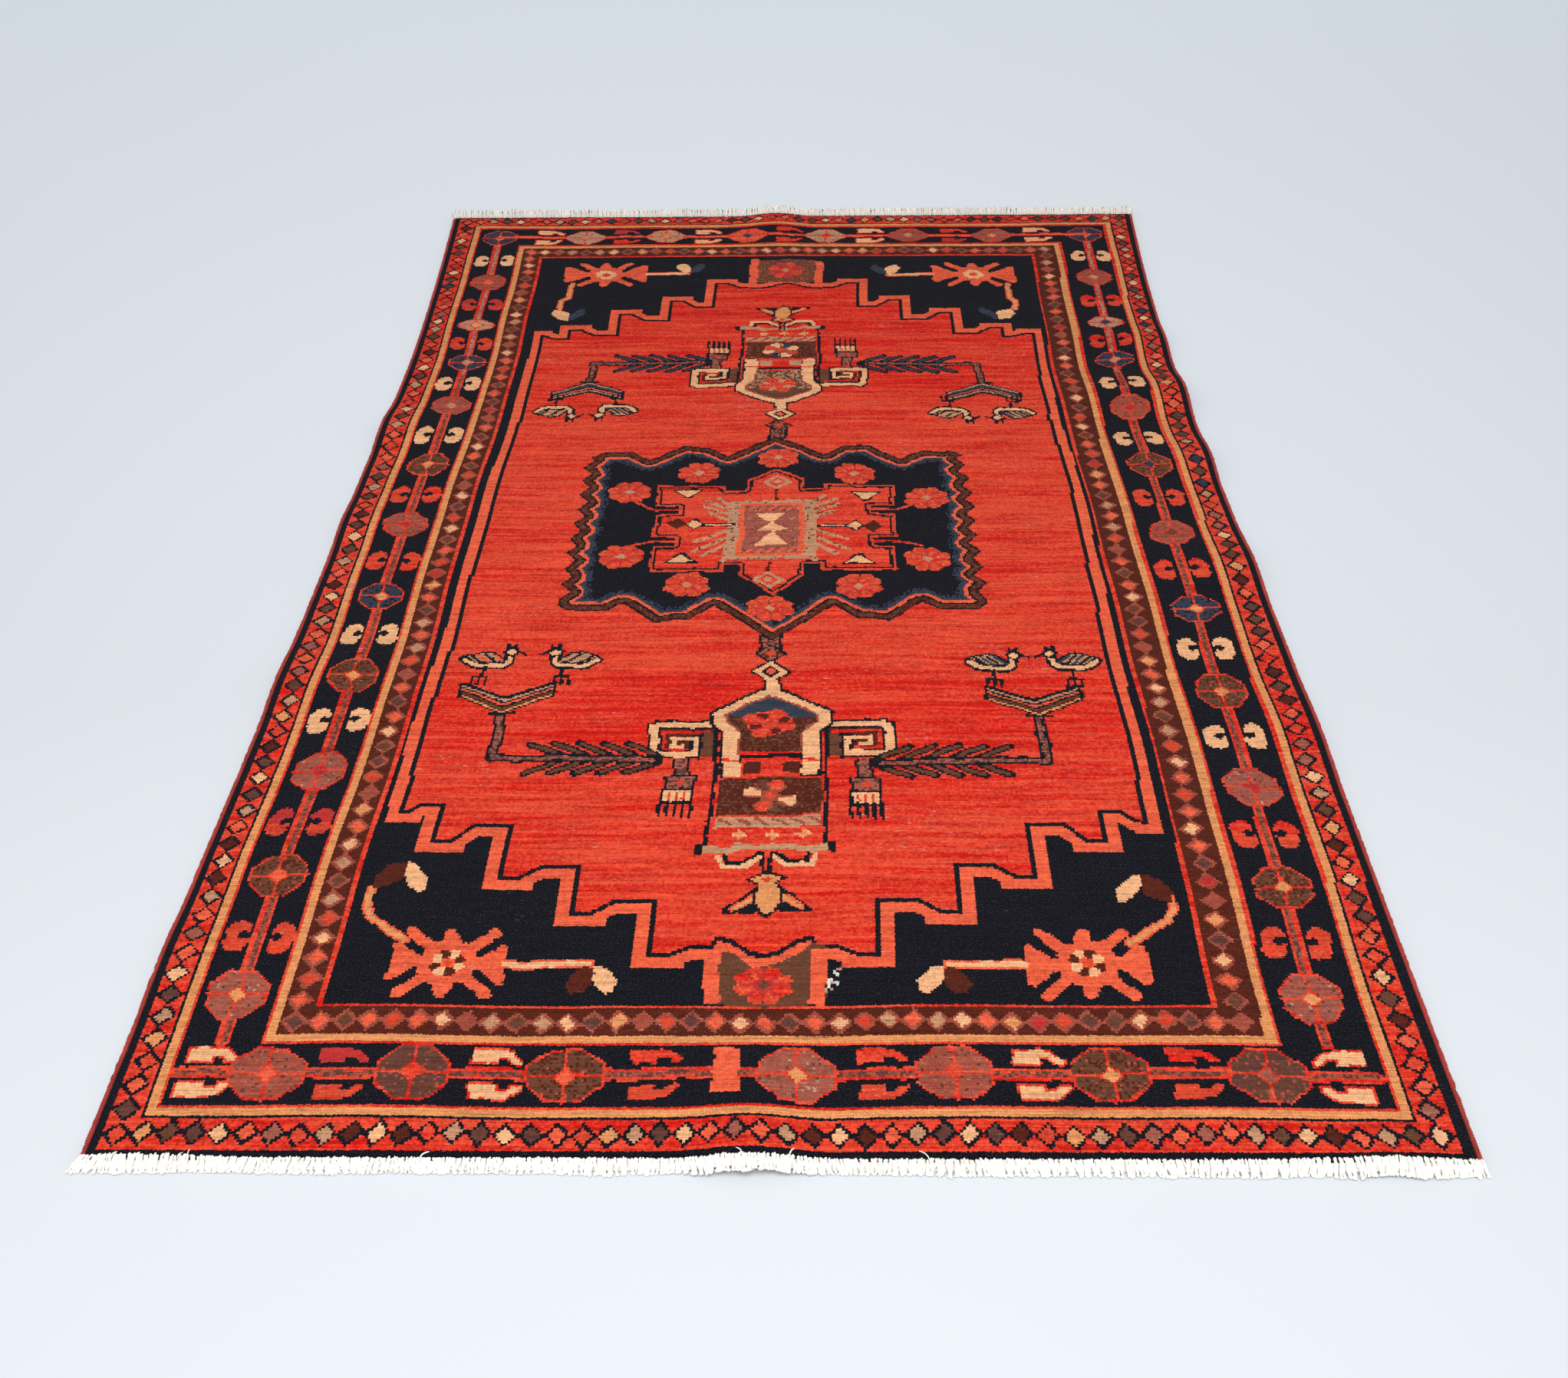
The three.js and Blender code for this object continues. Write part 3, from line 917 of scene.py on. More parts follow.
def paint_pendant(brush, cap, ground, mixed, blocks, upper, lower, lily):
    """The tall ornament between the medallion and an end, drawn outwards from the medallion.

    Wools: the cap of the arch, the ground below it and what is mixed into that, the small blocks
    and the petals of the two flowers. The last value is where the lily at the end stands.
    """
    brush.box(-5.4, -1, 4.6, 11, NAVY)
    brush.box(-4, 0, 3.2, 11, BROWN)
    brush.nested(-0.4, 14, (7.6, 7.0, NAVY), (6.0, 5.4, BROWN))
    brush.fleck_box(-7, 0, 7, 20, BROWN, MAUVE, 0.5)
    brush.diamond(-0.4, 14, 2.6, 2.4, EMBER)
    paint_scrolls(brush)
    paint_combs(brush)
    for half in brush.both_sides():
        half.line([(23, 62), (22.6, 132)], 1.7, NAVY)
    # Arch and columns: a dark outline, then the cream band, then what fills it.
    outline = [
        (3.2, 37.5), (9, 40.6), (25.6, 52.6), (25.6, 60.5), (21.2, 67), (21.2, 93), (12, 93), (12, 79),
    ]
    brush.area(mirrored(outline), NAVY)
    band = [
        (3.2, 39), (8.4, 42), (24.2, 53.6), (24.2, 60), (19.9, 66.4), (19.9, 92.5), (12.8, 92.5),
        (12.8, 79),
    ]
    brush.area(mirrored(band), CREAM)
    brush.area(mirrored([(2, 43), (7.4, 46), (19.4, 55), (19.2, 60), (13.4, 66.6), (13.4, 80)]), RUST)
    brush.area(mirrored([(1.6, 44.4), (6.8, 47), (18.2, 55.6), (18, 57)]), cap)
    body = mirrored([(18.2, 57), (18, 59.6), (12.6, 66), (12.6, 79)])
    brush.area(body, ground)
    brush.fleck(body, ground, mixed, 0.33)
    petal_rosette(brush.at(-1, 60.5), 11.6, 9.2, upper, EMBER, EMBER, seam=RED, inset=True)
    brush.box(-12.6, 78.4, 12.6, 80, RED)
    brush.box(-12.6, 80, 12.6, 82.2, NAVY)
    brush.box(-12.4, 82.2, 12.4, 94, RED)
    for a in (-8, 8.6):
        brush.box(a - 3.4, 84.4, a + 3.4, 91.2, blocks)
    for half in brush.both_sides():
        half.line([(13.5, 83.2), (19.4, 83.2)], 1.4, RED)
    eye = ((9.6, 8.4, NAVY), (8.0, 7.0, CREAM), (4.4, 3.9, NAVY), (2.8, 2.5, SALMON))
    brush.nested(0, 26.5, *eye)
    brush.box(-4, 32.4, 4, 40, NAVY)
    brush.box(-2.8, 32, 2.8, 42, CREAM)
    brush.box(-20.4, 94, 21, 115, BROWN)
    brush.fleck_box(-20, 94, 21, 115, BROWN, OLIVE, 0.3)
    petal_rosette(brush.at(0, 104.5), 11.0, 9.2, lower, RUST, EMBER, seam=RUST)
    brush.box(-20.4, 116, 20.6, 121.8, TAN)
    for k in range(6):
        hatch = brush.at(7 * k, 0)
        hatch.line([(-18.5, 117.2), (-15.5, 118.8), (-13.5, 120.6)], 1.5, RUST)
    for a in (-10, 2.5, 14.5):
        brush.nested(a, 126, (3.4, 1.7, CREAM), (1.7, 3.4, ORANGE))
    brush.area(
        [(-25.5, 131.5), (-13, 132.5), (-11, 130), (-3, 131.5), (3, 130), (10, 131.5), (14, 133),
         (25.5, 132), (25.5, 136), (14, 136.2), (9, 133.6), (-9, 133.6), (-14, 136.2), (-25.5, 136)],
        TAN,
    )
    for half in brush.both_sides():
        half.box(23.9, 130.6, 26.9, 136, NAVY)
    for hook in brush.at(1.0, 0).both_sides():
        hook.line([(3.4, 135.6), (8.4, 140.2), (15.4, 140.6), (16.4, 137)], 1.9, NAVY)
        hook.line([(2.8, 137.2), (8, 142.2), (17, 142.6), (18.8, 138)], 2.2, CREAM)
    paint_lily(brush.at(1.0, lily))


def paint_scrolls(brush):
    """Angular scrolls on both sides of the arch."""
    outer = [(22, 61), (46, 61), (48.5, 63), (48.5, 79), (31.2, 79), (31.2, 69.8)]
    curl = [(31.2, 79), (31.2, 69.8), (40.8, 69.4), (40.8, 73.8), (37, 73.8)]
    for scroll in brush.both_sides():
        scroll.box(24, 61, 48, 79, BROWN)
        scroll.box(22, 66, 28.6, 81, OLIVE)
        scroll.line([(29.2, 63), (29.2, 82)], 1.4, NAVY)
        scroll.line(outer, 5.6, NAVY, square=True)
        scroll.line([(26, 65.4), (44.6, 65.4), (44.6, 76), (34.6, 76)], 1.4, RED, square=True)
        scroll.line(outer[:-1], 3.4, CREAM, square=True)
        scroll.line(curl, 2.1, CREAM, square=True)


def paint_combs(brush):
    """A comb hanging under each scroll."""
    for side, a, b in ((-1, 36.7, 0), (1, 38.5, 2)):
        comb = brush.at(side * a, b, flip=side)
        comb.box(-3.4, 81, 3.4, 93, NAVY)
        comb.box(-2.3, 81, 2.3, 93, MAUVE)
        comb.box(-6.6, 92, 6.6, 108.6, NAVY)
        comb.box(-5.3, 92.6, 5.3, 99.4, MAUVE)
        comb.fleck_box(-6, 80, 6, 100, MAUVE, DUSK, 0.4)
        comb.diamond(0, 96, 2.2, 2.0, EMBER)
        comb.box(-5.3, 100.8, 5.3, 107.2, CREAM)
        for k in (-1, 0, 1):
            comb.line([(2.8 * k, 102), (2.8 * k, 106)], 1.1, EMBER)
        for k in range(5):
            comb.line([(-6 + 3 * k, 107), (-6 + 3 * k, 115.4)], 1.5, NAVY)


LEAF_PAIRS = 5
LEAF_STEP = 10.2


def paint_branch(brush, post, reach, leaf, leaves_from):
    """A post with a leafy branch, drawn with the branch level at zero and the post rising from it."""
    for k in range(LEAF_PAIRS):
        for turn in (1, -1):
            blade = brush.at(leaves_from + LEAF_STEP * k, -0.6, turn=turn)
            blade.line([(0, 1.2), (-8, 6.2), (-13.5, 8.8)], 3.9, NAVY)
            blade.line([(-3, 3), (-8, 6.2), (-12.8, 8.4)], 1.9, leaf)
    brush.line([(0, 0), (0, post)], 5.2, NAVY)
    brush.line([(0, 0), (reach, -1.5)], 4.6, NAVY, square=True)
    brush.line([(0, 0), (0, post + 1)], 2.7, MAUVE)
    brush.line([(0, 0), (reach, -1.5)], 2.3, MAUVE)
    brush.fleck([(-3, -4), (reach, -4), (reach, 3), (3, 3), (3, post), (-3, post)], MAUVE, DUSK, 0.5)


def paint_perch(brush, stripes):
    """A perch of striped arms that rise from its middle to both sides."""
    for arm in brush.both_sides():
        for k, wool in enumerate(stripes):
            arm.line([(0, 1.25 * k - 1), (20, 10.4 + k)], 1.9, wool)
        arm.line([(20.2, 9.6), (20.2, 18.4)], 1.6, NAVY)
    brush.box(-6, -2, 6, -0.4, NAVY)


BIRD_WING = ((-9.5, 7.6), (-3.0, 10.0), (1.0, 9.2), (5.4, 5.0), (3.4, 3.2), (-5.0, 3.2))


def paint_bird(brush, wing, leg):
    """A standing bird that looks towards positive across, its feet below the origin."""
    band = [(-10.6, 5.4), (-7.0, 1.8), (-3.6, 0.6), (6.4, 0.8), (8.4, 3.2), (8.8, 9.0)]
    brush.line(band, 5.2, NAVY)
    brush.line(BIRD_WING, 2.2, NAVY, closed=True)
    brush.area(BIRD_WING, TAN)
    for k, wool in enumerate((NAVY, wing, NAVY, wing)):
        brush.line([(-8.6 + 3.1 * k, 8.6), (-3.4 + 3.1 * k, 3.4)], 1.3, wool)
    brush.line(band, 2.3, CREAM)
    brush.diamond(9.4, 10.4, 4.6, 4.2, NAVY)
    brush.diamond(9.2, 10.0, 2.6, 2.4, CREAM)
    for a in (7.2, 10.6):
        brush.line([(a, 12.4), (a, 15.4)], 1.4, NAVY)
    brush.line([(12.4, 10.4), (15.4, 8.6)], 1.5, NAVY)
    brush.line([(leg - 1, -0.6), (leg - 1, -6.6)], 1.7, NAVY)
    brush.line([(leg - 4.6, -7), (leg + 1.4, -7)], 1.5, NAVY)
    for a in (-4.6, -1.6, 1.4):
        brush.line([(leg + a, -7), (leg + a, -12.4)], 1.35, NAVY)


def paint_birds(brush):
    """The four pairs of birds on their perches, with leafy branches."""
    near_stripes = (NAVY, ORANGE, BROWN, OLIVE, NAVY, SALMON, NAVY, TAN, NAVY)
    far_stripes = (NAVY, TAN, BLUE, BLUE, NAVY, SALMON, NAVY, TAN, NAVY)
    for middle, flip, base in ((99.8, 1, 190.5), (326.2, -1, 188.0)):
        paint_branch(brush.at(middle, base, flip=flip), 27, 66, OLIVE, 28)
        paint_perch(brush.at(middle + 0.6, base + 29), near_stripes)
    for middle, flip, base in ((106.8, 1, 521.5), (330.0, -1, 519.0)):
        paint_branch(brush.at(middle, base, flip=flip, turn=-1), 21, 62, BLUE, 27)
        paint_perch(brush.at(middle, base - 22, turn=-1), far_stripes)
    for across, along, flip, turn, wing, leg in (
        (88.5, 249.5, 1, 1, SALMON, 0), (126.0, 249.5, -1, 1, TAN, 5),
        (311.5, 247.0, 1, 1, BLUE, 1), (346.0, 247.0, -1, 1, BLUE, 2),
        (91.0, 474.5, 1, -1, TAN, 1), (125.0, 474.5, -1, -1, BLUE, 2),
        (310.5, 470.5, 1, -1, TAN, 1), (344.5, 470.5, -1, -1, BLUE, 1),
    ):
        paint_bird(brush.at(across, along, flip=flip, turn=turn), wing, leg)


def draw_chart():
    """Paints the whole rug and gives its knots."""
    chart = Chart()
    brush = Brush(chart)
    ruled = Brush(chart, ruled=True)
    paint_frame(ruled)
    paint_lozenges(brush)
    paint_side_borders(brush, ruled)
    paint_end_borders(brush)
    paint_field(ruled)
    paint_end_panels(brush)
    paint_corner_flowers(brush)
    paint_pendant(
        brush.at(214.2, 272, turn=-1), cap=BLUE, ground=BROWN, mixed=OLIVE, blocks=BROWN,
        upper=(EMBER, BROWN), lower=(CREAM, OLIVE, EMBER, BROWN), lily=149.3,
    )
    paint_pendant(
        brush.at(215.4, 440, tall=0.925), cap=OLIVE, ground=OLIVE, mixed=TAN, blocks=TAN,
        upper=(EMBER, TAN), lower=(CREAM, BLUE, CREAM, EMBER), lily=144.8,
    )
    paint_medallion(brush)
    paint_birds(brush)
    return chart.knots


class Nodes:
    """Adds nodes to a material and joins them."""

    def __init__(self, name):
        self.material = bpy.data.materials.new(name)
        self.material.use_nodes = True
        self.tree = self.material.node_tree
        self.tree.nodes.clear()
        self.out = self.tree.nodes.new("ShaderNodeOutputMaterial")

    def add(self, kind, **settings):
        node = self.tree.nodes.new(kind)
        for name, value in settings.items():
            setattr(node, name, value)
        return node

    def feed(self, socket, value):
        if isinstance(value, bpy.types.NodeSocket):
            self.tree.links.new(value, socket)
        else:
            socket.default_value = value

    def sum(self, operation, *values):
        node = self.add("ShaderNodeMath", operation=operation)
        for socket, value in zip(node.inputs, values):
            self.feed(socket, value)
        return node.outputs[0]

    def total(self, first, *others):
        for value in others:
            first = self.sum("ADD", first, value)
        return first

    def vector(self, operation, *values):
        node = self.add("ShaderNodeVectorMath", operation=operation)
        for socket, value in zip(node.inputs, values):
            self.feed(socket, value)
        return node.outputs[0]

    def split(self, vector):
        node = self.add("ShaderNodeSeparateXYZ")
        self.feed(node.inputs[0], vector)
        return node.outputs

    def noise(self, vector, scale, detail=2.0, roughness=0.5):
        node = self.add("ShaderNodeTexNoise")
        self.feed(node.inputs["Vector"], vector)
        node.inputs["Scale"].default_value = scale
        node.inputs["Detail"].default_value = detail
        node.inputs["Roughness"].default_value = roughness
        return node.outputs["Fac"]

    def spread(self, value, low, high, from_low=0.0, from_high=1.0):
        node = self.add("ShaderNodeMapRange")
        self.feed(node.inputs["Value"], value)
        node.inputs["From Min"].default_value = from_low
        node.inputs["From Max"].default_value = from_high
        node.inputs["To Min"].default_value = low
        node.inputs["To Max"].default_value = high
        return node.outputs[0]

    def layer(self, place, stretch, detail, roughness, kept=None, ends=None):
        """Noise over a stretched place: all of it, or the part kept of it, spread between two ends."""
        noise = self.noise(self.vector("MULTIPLY", place, (*stretch, 0.0)), 1.0, detail, roughness)
        if kept is None:
            return noise
        return self.spread(noise, *ends, *kept)

    def mix(self, factor, first, second):
        node = self.add("ShaderNodeMix", data_type="RGBA")
        self.feed(node.inputs["Factor"], factor)
        self.feed(node.inputs["A"], first)
        self.feed(node.inputs["B"], second)
        return node.outputs["Result"]

    def shade(self, colour, roughness, normal=None, **sockets):
        node = self.add("ShaderNodeBsdfPrincipled")
        self.feed(node.inputs["Base Color"], colour)
        node.inputs["Roughness"].default_value = roughness
        if normal is not None:
            self.feed(node.inputs["Normal"], normal)
        for name, value in sockets.items():
            node.inputs[name.replace("_", " ")].default_value = value
        self.feed(self.out.inputs["Surface"], node.outputs[0])
        return self.material

    def bump(self, height, strength, depth):
        node = self.add("ShaderNodeBump")
        node.inputs["Strength"].default_value = strength
        node.inputs["Distance"].default_value = depth
        self.feed(node.inputs["Height"], height)
        return node.outputs["Normal"]


# Each wool is one digit of a face's code, so there are as many digits as wools.
CODE_BASE = float(len(WOOLS))


def wool_ramp(nodes, factor, colours):
    """A ramp with one flat step for each wool."""
    node = nodes.add("ShaderNodeValToRGB")
    ramp = node.color_ramp
    ramp.interpolation = "CONSTANT"
    while len(ramp.elements) < len(colours):
        ramp.elements.new(len(ramp.elements) / len(colours))
    for k, colour in enumerate(colours):
        ramp.elements[k].position = k / len(colours)
        ramp.elements[k].color = (*colour, 1.0)
    nodes.feed(node.inputs[0], factor)
    return node.outputs["Color"]


def knot_number(nodes, fuzz):
    """The wool number of the knot under a point, as a place on the wool ramp."""
    cell = nodes.add("ShaderNodeUVMap", uv_map="cell").outputs[0]
    place = nodes.vector("MULTIPLY_ADD", cell, (float(CELL), float(CELL), 0.0), (1.0, 1.0, 0.0))
    across, along, _ = nodes.split(nodes.vector("ADD", place, fuzz))
    column = nodes.sum("FLOOR", across)
    column = nodes.sum("MAXIMUM", nodes.sum("MINIMUM", column, float(KEPT - 1)), 0.0)
    rows = [nodes.add("ShaderNodeAttribute", attribute_name=name).outputs["Fac"] for name in KNOT_ROWS]
    row = rows[0]
    for k in range(1, KEPT):
        past = nodes.sum("GREATER_THAN", along, float(k))
        row = nodes.sum("MULTIPLY_ADD", past, nodes.sum("SUBTRACT", rows[k], rows[k - 1]), row)
    place = nodes.sum("POWER", CODE_BASE, column)
    # A quarter keeps a whole number from being rounded down to the one before it.
    number = nodes.sum("FLOOR", nodes.sum("DIVIDE", nodes.sum("ADD", row, 0.25), place))
    number = nodes.sum("MODULO", number, CODE_BASE)
    return nodes.sum("DIVIDE", nodes.sum("ADD", number, 0.5), CODE_BASE)


# Share of the warmer dye lot along the rug, from the near to the far end.
DYE_LOTS = (
    (0.00, 0.60), (0.20, 0.63), (0.26, 0.52), (0.285, 0.33), (0.33, 0.33), (0.345, 0.69), (0.39, 0.76),
    (0.48, 0.66), (0.51, 0.90), (0.545, 0.69), (0.57, 0.82), (0.66, 0.71), (0.68, 0.44), (0.74, 0.50),
    (0.77, 0.38), (0.86, 0.35), (1.00, 0.44),
)


def dye_lot(nodes, along):
    """How far a place along the rug is in the warmer dye lot."""
    node = nodes.add("ShaderNodeValToRGB")
    elements = node.color_ramp.elements
    while len(elements) < len(DYE_LOTS):
        elements.new(len(elements) / len(DYE_LOTS))
    for element, (place, share) in zip(elements, DYE_LOTS):
        element.position = place
        element.color = (share, share, share, 1.0)
    nodes.feed(node.inputs[0], nodes.sum("DIVIDE", along, float(ROWS)))
    return node.outputs["Color"]


# How much lighter and warmer a wool is in the warmer dye lot.
WARMER = {RED: (1.10, 8.9, 8.2), SALMON: (1.04, 1.30, 1.20), EMBER: (1.04, 1.40, 1.20)}

# Noise over the knots: stretch across and along, detail and roughness. Where two more pairs follow,
# they are the part kept of it and what the ends of that part become.
CLOUD = ((0.006, 0.085), 4.0, 0.65, (0.30, 0.70), (-0.46, 0.46))
STREAK = ((0.030, 0.60), 3.0, 0.75, (0.25, 0.75), (-0.65, 0.65))
BROAD_LOT = ((0.014, 0.28), 2.0, 0.60, (0.30, 0.70), (-0.52, 0.52))
BROAD_TONE = ((0.014, 0.28), 2.0, 0.60, (0.30, 0.70), (-0.09, 0.09))
ROW_TONE = ((0.040, 0.95), 3.0, 0.75, (0.25, 0.75), (-0.40, 0.34))
# Painted shade: thin darker lines along the rows, as shade in creases of the pile.
CREASE_SHADE = ((0.045, 1.10), 2.0, 0.60, (0.62, 0.72), (0.0, -0.34))
FIBRE = ((2.4, 2.4), 2.0, 0.70, (0.25, 0.75), (-0.20, 0.20))
# Painted highlight: patches where the fibre ends are drawn lighter, as if light glints on them.
PAINTED_HIGHLIGHT = ((1.55, 1.55), 3.0, 0.80, (0.54, 0.82), (0.0, 1.0))
WEAR_AREA = ((0.012, 0.030), 2.0, 0.50, (0.30, 0.70), (-0.05, 0.07))
RUBBED = ((0.22, 0.90), 3.0, 0.75)
PILE_CURL = ((1.7, 1.7), 3.0, 0.70)

# How often the fibres lean another way, how far they lean over, and what one knot more or less changes.
FUZZ_OFTEN = 1.25
FUZZ_REACH = (1.5, 1.5, 0.0)
KNOT_LOT = (-0.26, 0.26)
KNOT_TONE = (0.86, 1.14)
# A painted highlight on fibre ends: how many times its wool, and what is added.
HIGHLIGHT_TIMES = (1.12, 1.12, 1.12)
HIGHLIGHT_ADDED = (0.085, 0.075, 0.066)

# What the wear and the redness of a wool become, between which values of theirs.
WORN = (0.0, 0.60, 0.65, 0.79)
WEAR_SHOWS = (0.10, 1.0, 0.03, 0.30)
TUFT_ROUND = 0.6
TUFT_HEIGHT = 0.55
PILE_CURL_HEIGHT = 0.9
PILE_BUMP = (0.9, 0.0020)

# The back: paler wool, and the weft between the rows of knots.
BACK_SATURATION = 0.86
WEFT_SHOWS = (0.55, 0.0, 0.0, 0.75)
BACK_BUMP = (0.8, 0.0012)


def warmer_wools(colours):
    """The wools as they look in the warmer dye lot."""
    same = (1.0, 1.0, 1.0)
    return [
        tuple(min(1.0, part * more) for part, more in zip(colour, WARMER.get(wool, same)))
        for wool, colour in enumerate(colours)
    ]


def wool_colour(nodes, knots, saturation):
    """The colour at each place, with dye lots, streaks, painted shade in creases along the rows and
    painted highlights on fibre ends.
    """
    # Fibres lean over their neighbours, so the edges of the knots are fuzzy.
    hair = nodes.add("ShaderNodeTexNoise")
    nodes.feed(hair.inputs["Vector"], knots)
    hair.inputs["Scale"].default_value = FUZZ_OFTEN
    hair.inputs["Detail"].default_value = 2.0
    either_way = nodes.vector("SUBTRACT", hair.outputs["Color"], (0.5, 0.5, 0.5))
    fuzz = nodes.vector("MULTIPLY", either_way, FUZZ_REACH)
    number = knot_number(nodes, fuzz)
    speck = nodes.add("ShaderNodeTexWhiteNoise", noise_dimensions="2D")
    nodes.feed(speck.inputs["Vector"], nodes.vector("FLOOR", nodes.vector("ADD", knots, fuzz)))
    _, along, _ = nodes.split(knots)
    lot = nodes.total(
        dye_lot(nodes, along),
        nodes.layer(knots, *CLOUD),
        nodes.layer(knots, *STREAK),
        nodes.layer(knots, *BROAD_LOT),
        nodes.spread(speck.outputs["Value"], *KNOT_LOT),
    )
    tone = nodes.total(
        nodes.spread(speck.outputs["Value"], *KNOT_TONE),
        nodes.layer(knots, *BROAD_TONE),
        nodes.layer(knots, *ROW_TONE),
        nodes.layer(knots, *FIBRE),
        # Painted shade in creases of the pile.
        nodes.layer(knots, *CREASE_SHADE),
    )
    wools = bpy.context.scene.rug_wools
    colours = [tuple(getattr(wools, name)) for name in WOOLS]
    plain = wool_ramp(nodes, number, colours)
    warmer = wool_ramp(nodes, number, warmer_wools(colours))
    tint = nodes.add("ShaderNodeHueSaturation")
    nodes.feed(tint.inputs["Color"], nodes.mix(lot, plain, warmer))
    nodes.feed(tint.inputs["Value"], tone)
    tint.inputs["Saturation"].default_value = saturation
    colour = tint.outputs["Color"]
    # Painted highlight: the wool made lighter where light would glint on the fibre ends.
    highlighted = nodes.vector("MULTIPLY_ADD", colour, HIGHLIGHT_TIMES, HIGHLIGHT_ADDED)
    return nodes.mix(nodes.layer(knots, *PAINTED_HIGHLIGHT), colour, highlighted)


def knot_humps(nodes, knots):
    """One hump over each knot, across and along."""
    across, along, _ = nodes.split(knots)
    return [
        nodes.sum("ABSOLUTE", nodes.sum("SINE", nodes.sum("MULTIPLY", place, math.pi)))
        for place in (across, along)
    ]


def pile_material():
    """Cut pile: fuzzy tufts, with small spots rubbed bare."""
    nodes = Nodes("wool_pile")
    knots = nodes.add("ShaderNodeUVMap", uv_map="knots").outputs[0]
    colour = wool_colour(nodes, knots, 1.0)
    rub = nodes.total(nodes.layer(knots, *RUBBED), nodes.layer(knots, *WEAR_AREA))
    # Dark wools hide their wear.
    redness, _, _ = nodes.split(colour)
    worn = nodes.sum("MULTIPLY", nodes.spread(rub, *WORN), nodes.spread(redness, *WEAR_SHOWS))
    colour = nodes.mix(worn, colour, (*bpy.context.scene.rug_wools.bare, 1.0))
    across, along = [nodes.sum("POWER", hump, TUFT_ROUND) for hump in knot_humps(nodes, knots)]
    tuft = nodes.sum("MULTIPLY", nodes.sum("MULTIPLY", across, along), TUFT_HEIGHT)
    height = nodes.sum("MULTIPLY_ADD", nodes.layer(knots, *PILE_CURL), PILE_CURL_HEIGHT, tuft)
    normal = nodes.bump(height, *PILE_BUMP)
    sheen = {"Sheen_Weight": 0.02, "Sheen_Roughness": 0.5}
    return nodes.shade(colour, 0.9, normal, Specular_IOR_Level=0.03, **sheen)


def back_material():
    """The underside: flat knots with the weft between their rows."""
    nodes = Nodes("wool_back")
    knots = nodes.add("ShaderNodeUVMap", uv_map="knots").outputs[0]
    across, along = knot_humps(nodes, knots)
    weft = nodes.spread(along, *WEFT_SHOWS)
    colour = wool_colour(nodes, knots, BACK_SATURATION)
    colour = nodes.mix(weft, colour, (*bpy.context.scene.rug_wools.tan, 1.0))
    normal = nodes.bump(nodes.sum("MULTIPLY", across, along), *BACK_BUMP)
    return nodes.shade(colour, 0.92, normal, Specular_IOR_Level=0.15)


def fresh_object(name):
    """The object just added, with its name."""
    made = bpy.context.object
    made.name = name
    made.data.name = name
    return made


# How many cells from the edge the waves of the cloth reach their full size.
WAVE_FROM = 5
# Slow waves of the columns and of the rows: size in metres, how often one way and the other, and start.
COLUMN_WAVES = ((0.0016, 9.0, 2.2, 0.0), (0.0009, 23.0, -1.7, 1.0))
ROW_WAVES = ((0.0014, 8.0, 1.3, 0.6), (0.0008, 21.0, 2.0, 0.0))
# The pile's height, in metres: how uneven it is, how far it drops at the edge, and its low swells.
# A swell comes so often, and sways so far and so often.
UNEVEN = 0.00022
EDGE_DROP = 0.0022
SWELL = 0.00035
SWELL_ACROSS = (41, 1.7, 23)
SWELL_ALONG = (37, 2.0, 19)
# The thickness of the sheet while it is still a flat square.
FLAT_THICKNESS = 0.1


def slow_waves(waves, first, second):
    """How far a place is moved by waves of the cloth."""
    return sum(
        size * np.sin(one_way * first + other_way * second + start)
        for size, one_way, other_way, start in waves
    )


def swaying(first, second, often, far, sways):
    """Waves along the first way that sway along the second."""
    return np.sin(first * often + far * np.sin(second * sways))


def weave_sheet():
    """The knotted sheet: a grid with a thickness, its knots coded on the faces."""
    sizes = bpy.context.scene.rug_sizes
    bpy.ops.object.select_all(action="DESELECT")
    bpy.ops.mesh.primitive_grid_add(x_subdivisions=CELLS_ACROSS, y_subdivisions=CELLS_ALONG, size=2)
    rug = fresh_object("knotted_pile")
    solid = rug.modifiers.new("thickness", "SOLIDIFY")
    solid.thickness = FLAT_THICKNESS
    solid.offset = -1.0
    bpy.ops.object.modifier_apply(modifier=solid.name)
    mesh = rug.data
    flat = np.empty(len(mesh.vertices) * 3)
    mesh.vertices.foreach_get("co", flat)
    flat = flat.reshape(-1, 3)
    column = np.rint((flat[:, 0] + 1) / 2 * CELLS_ACROSS)
    row = np.rint((flat[:, 1] + 1) / 2 * CELLS_ALONG)
    on_top = flat[:, 2] > -FLAT_THICKNESS / 2
    code_faces(mesh, flat, column, row)
    # The outline, the ripples and a slightly uneven pile.
    half = sizes.pile_length / 2
    y = -half + sizes.pile_length * row / CELLS_ALONG
    inset = sizes.binding_width + sizes.gap
    left = side_line(-1, y) + inset
    right = side_line(1, y) - inset
    x = left + (right - left) * column / CELLS_ACROSS
    border = np.minimum.reduce([column, CELLS_ACROSS - column, row, CELLS_ALONG - row])
    # Rows and columns run in slow waves, and the edges keep their place.
    free = np.minimum(border / WAVE_FROM, 1.0)
    x, y = x + free * slow_waves(COLUMN_WAVES, y, x), y + free * slow_waves(ROW_WAVES, x, y)
    chance = np.random.default_rng(11)
    uneven = chance.normal(0.0, UNEVEN, (CELLS_ALONG + 1, CELLS_ACROSS + 1))
    swell = SWELL * swaying(x, y, *SWELL_ACROSS) * swaying(y, x, *SWELL_ALONG)
    top = sizes.thickness - np.where(border == 0, EDGE_DROP, 0.0)
    top = top + uneven[row.astype(int), column.astype(int)] + swell
    z = lift(x, y) + np.where(on_top, top, 0.0)
    mesh.vertices.foreach_set("co", np.stack([x, y, z], 1).ravel())
    mesh.update()
    bpy.ops.object.shade_smooth_by_angle(angle=math.radians(50))
    mesh.materials.clear()
    mesh.materials.append(pile_material())
    mesh.materials.append(back_material())
    return rug


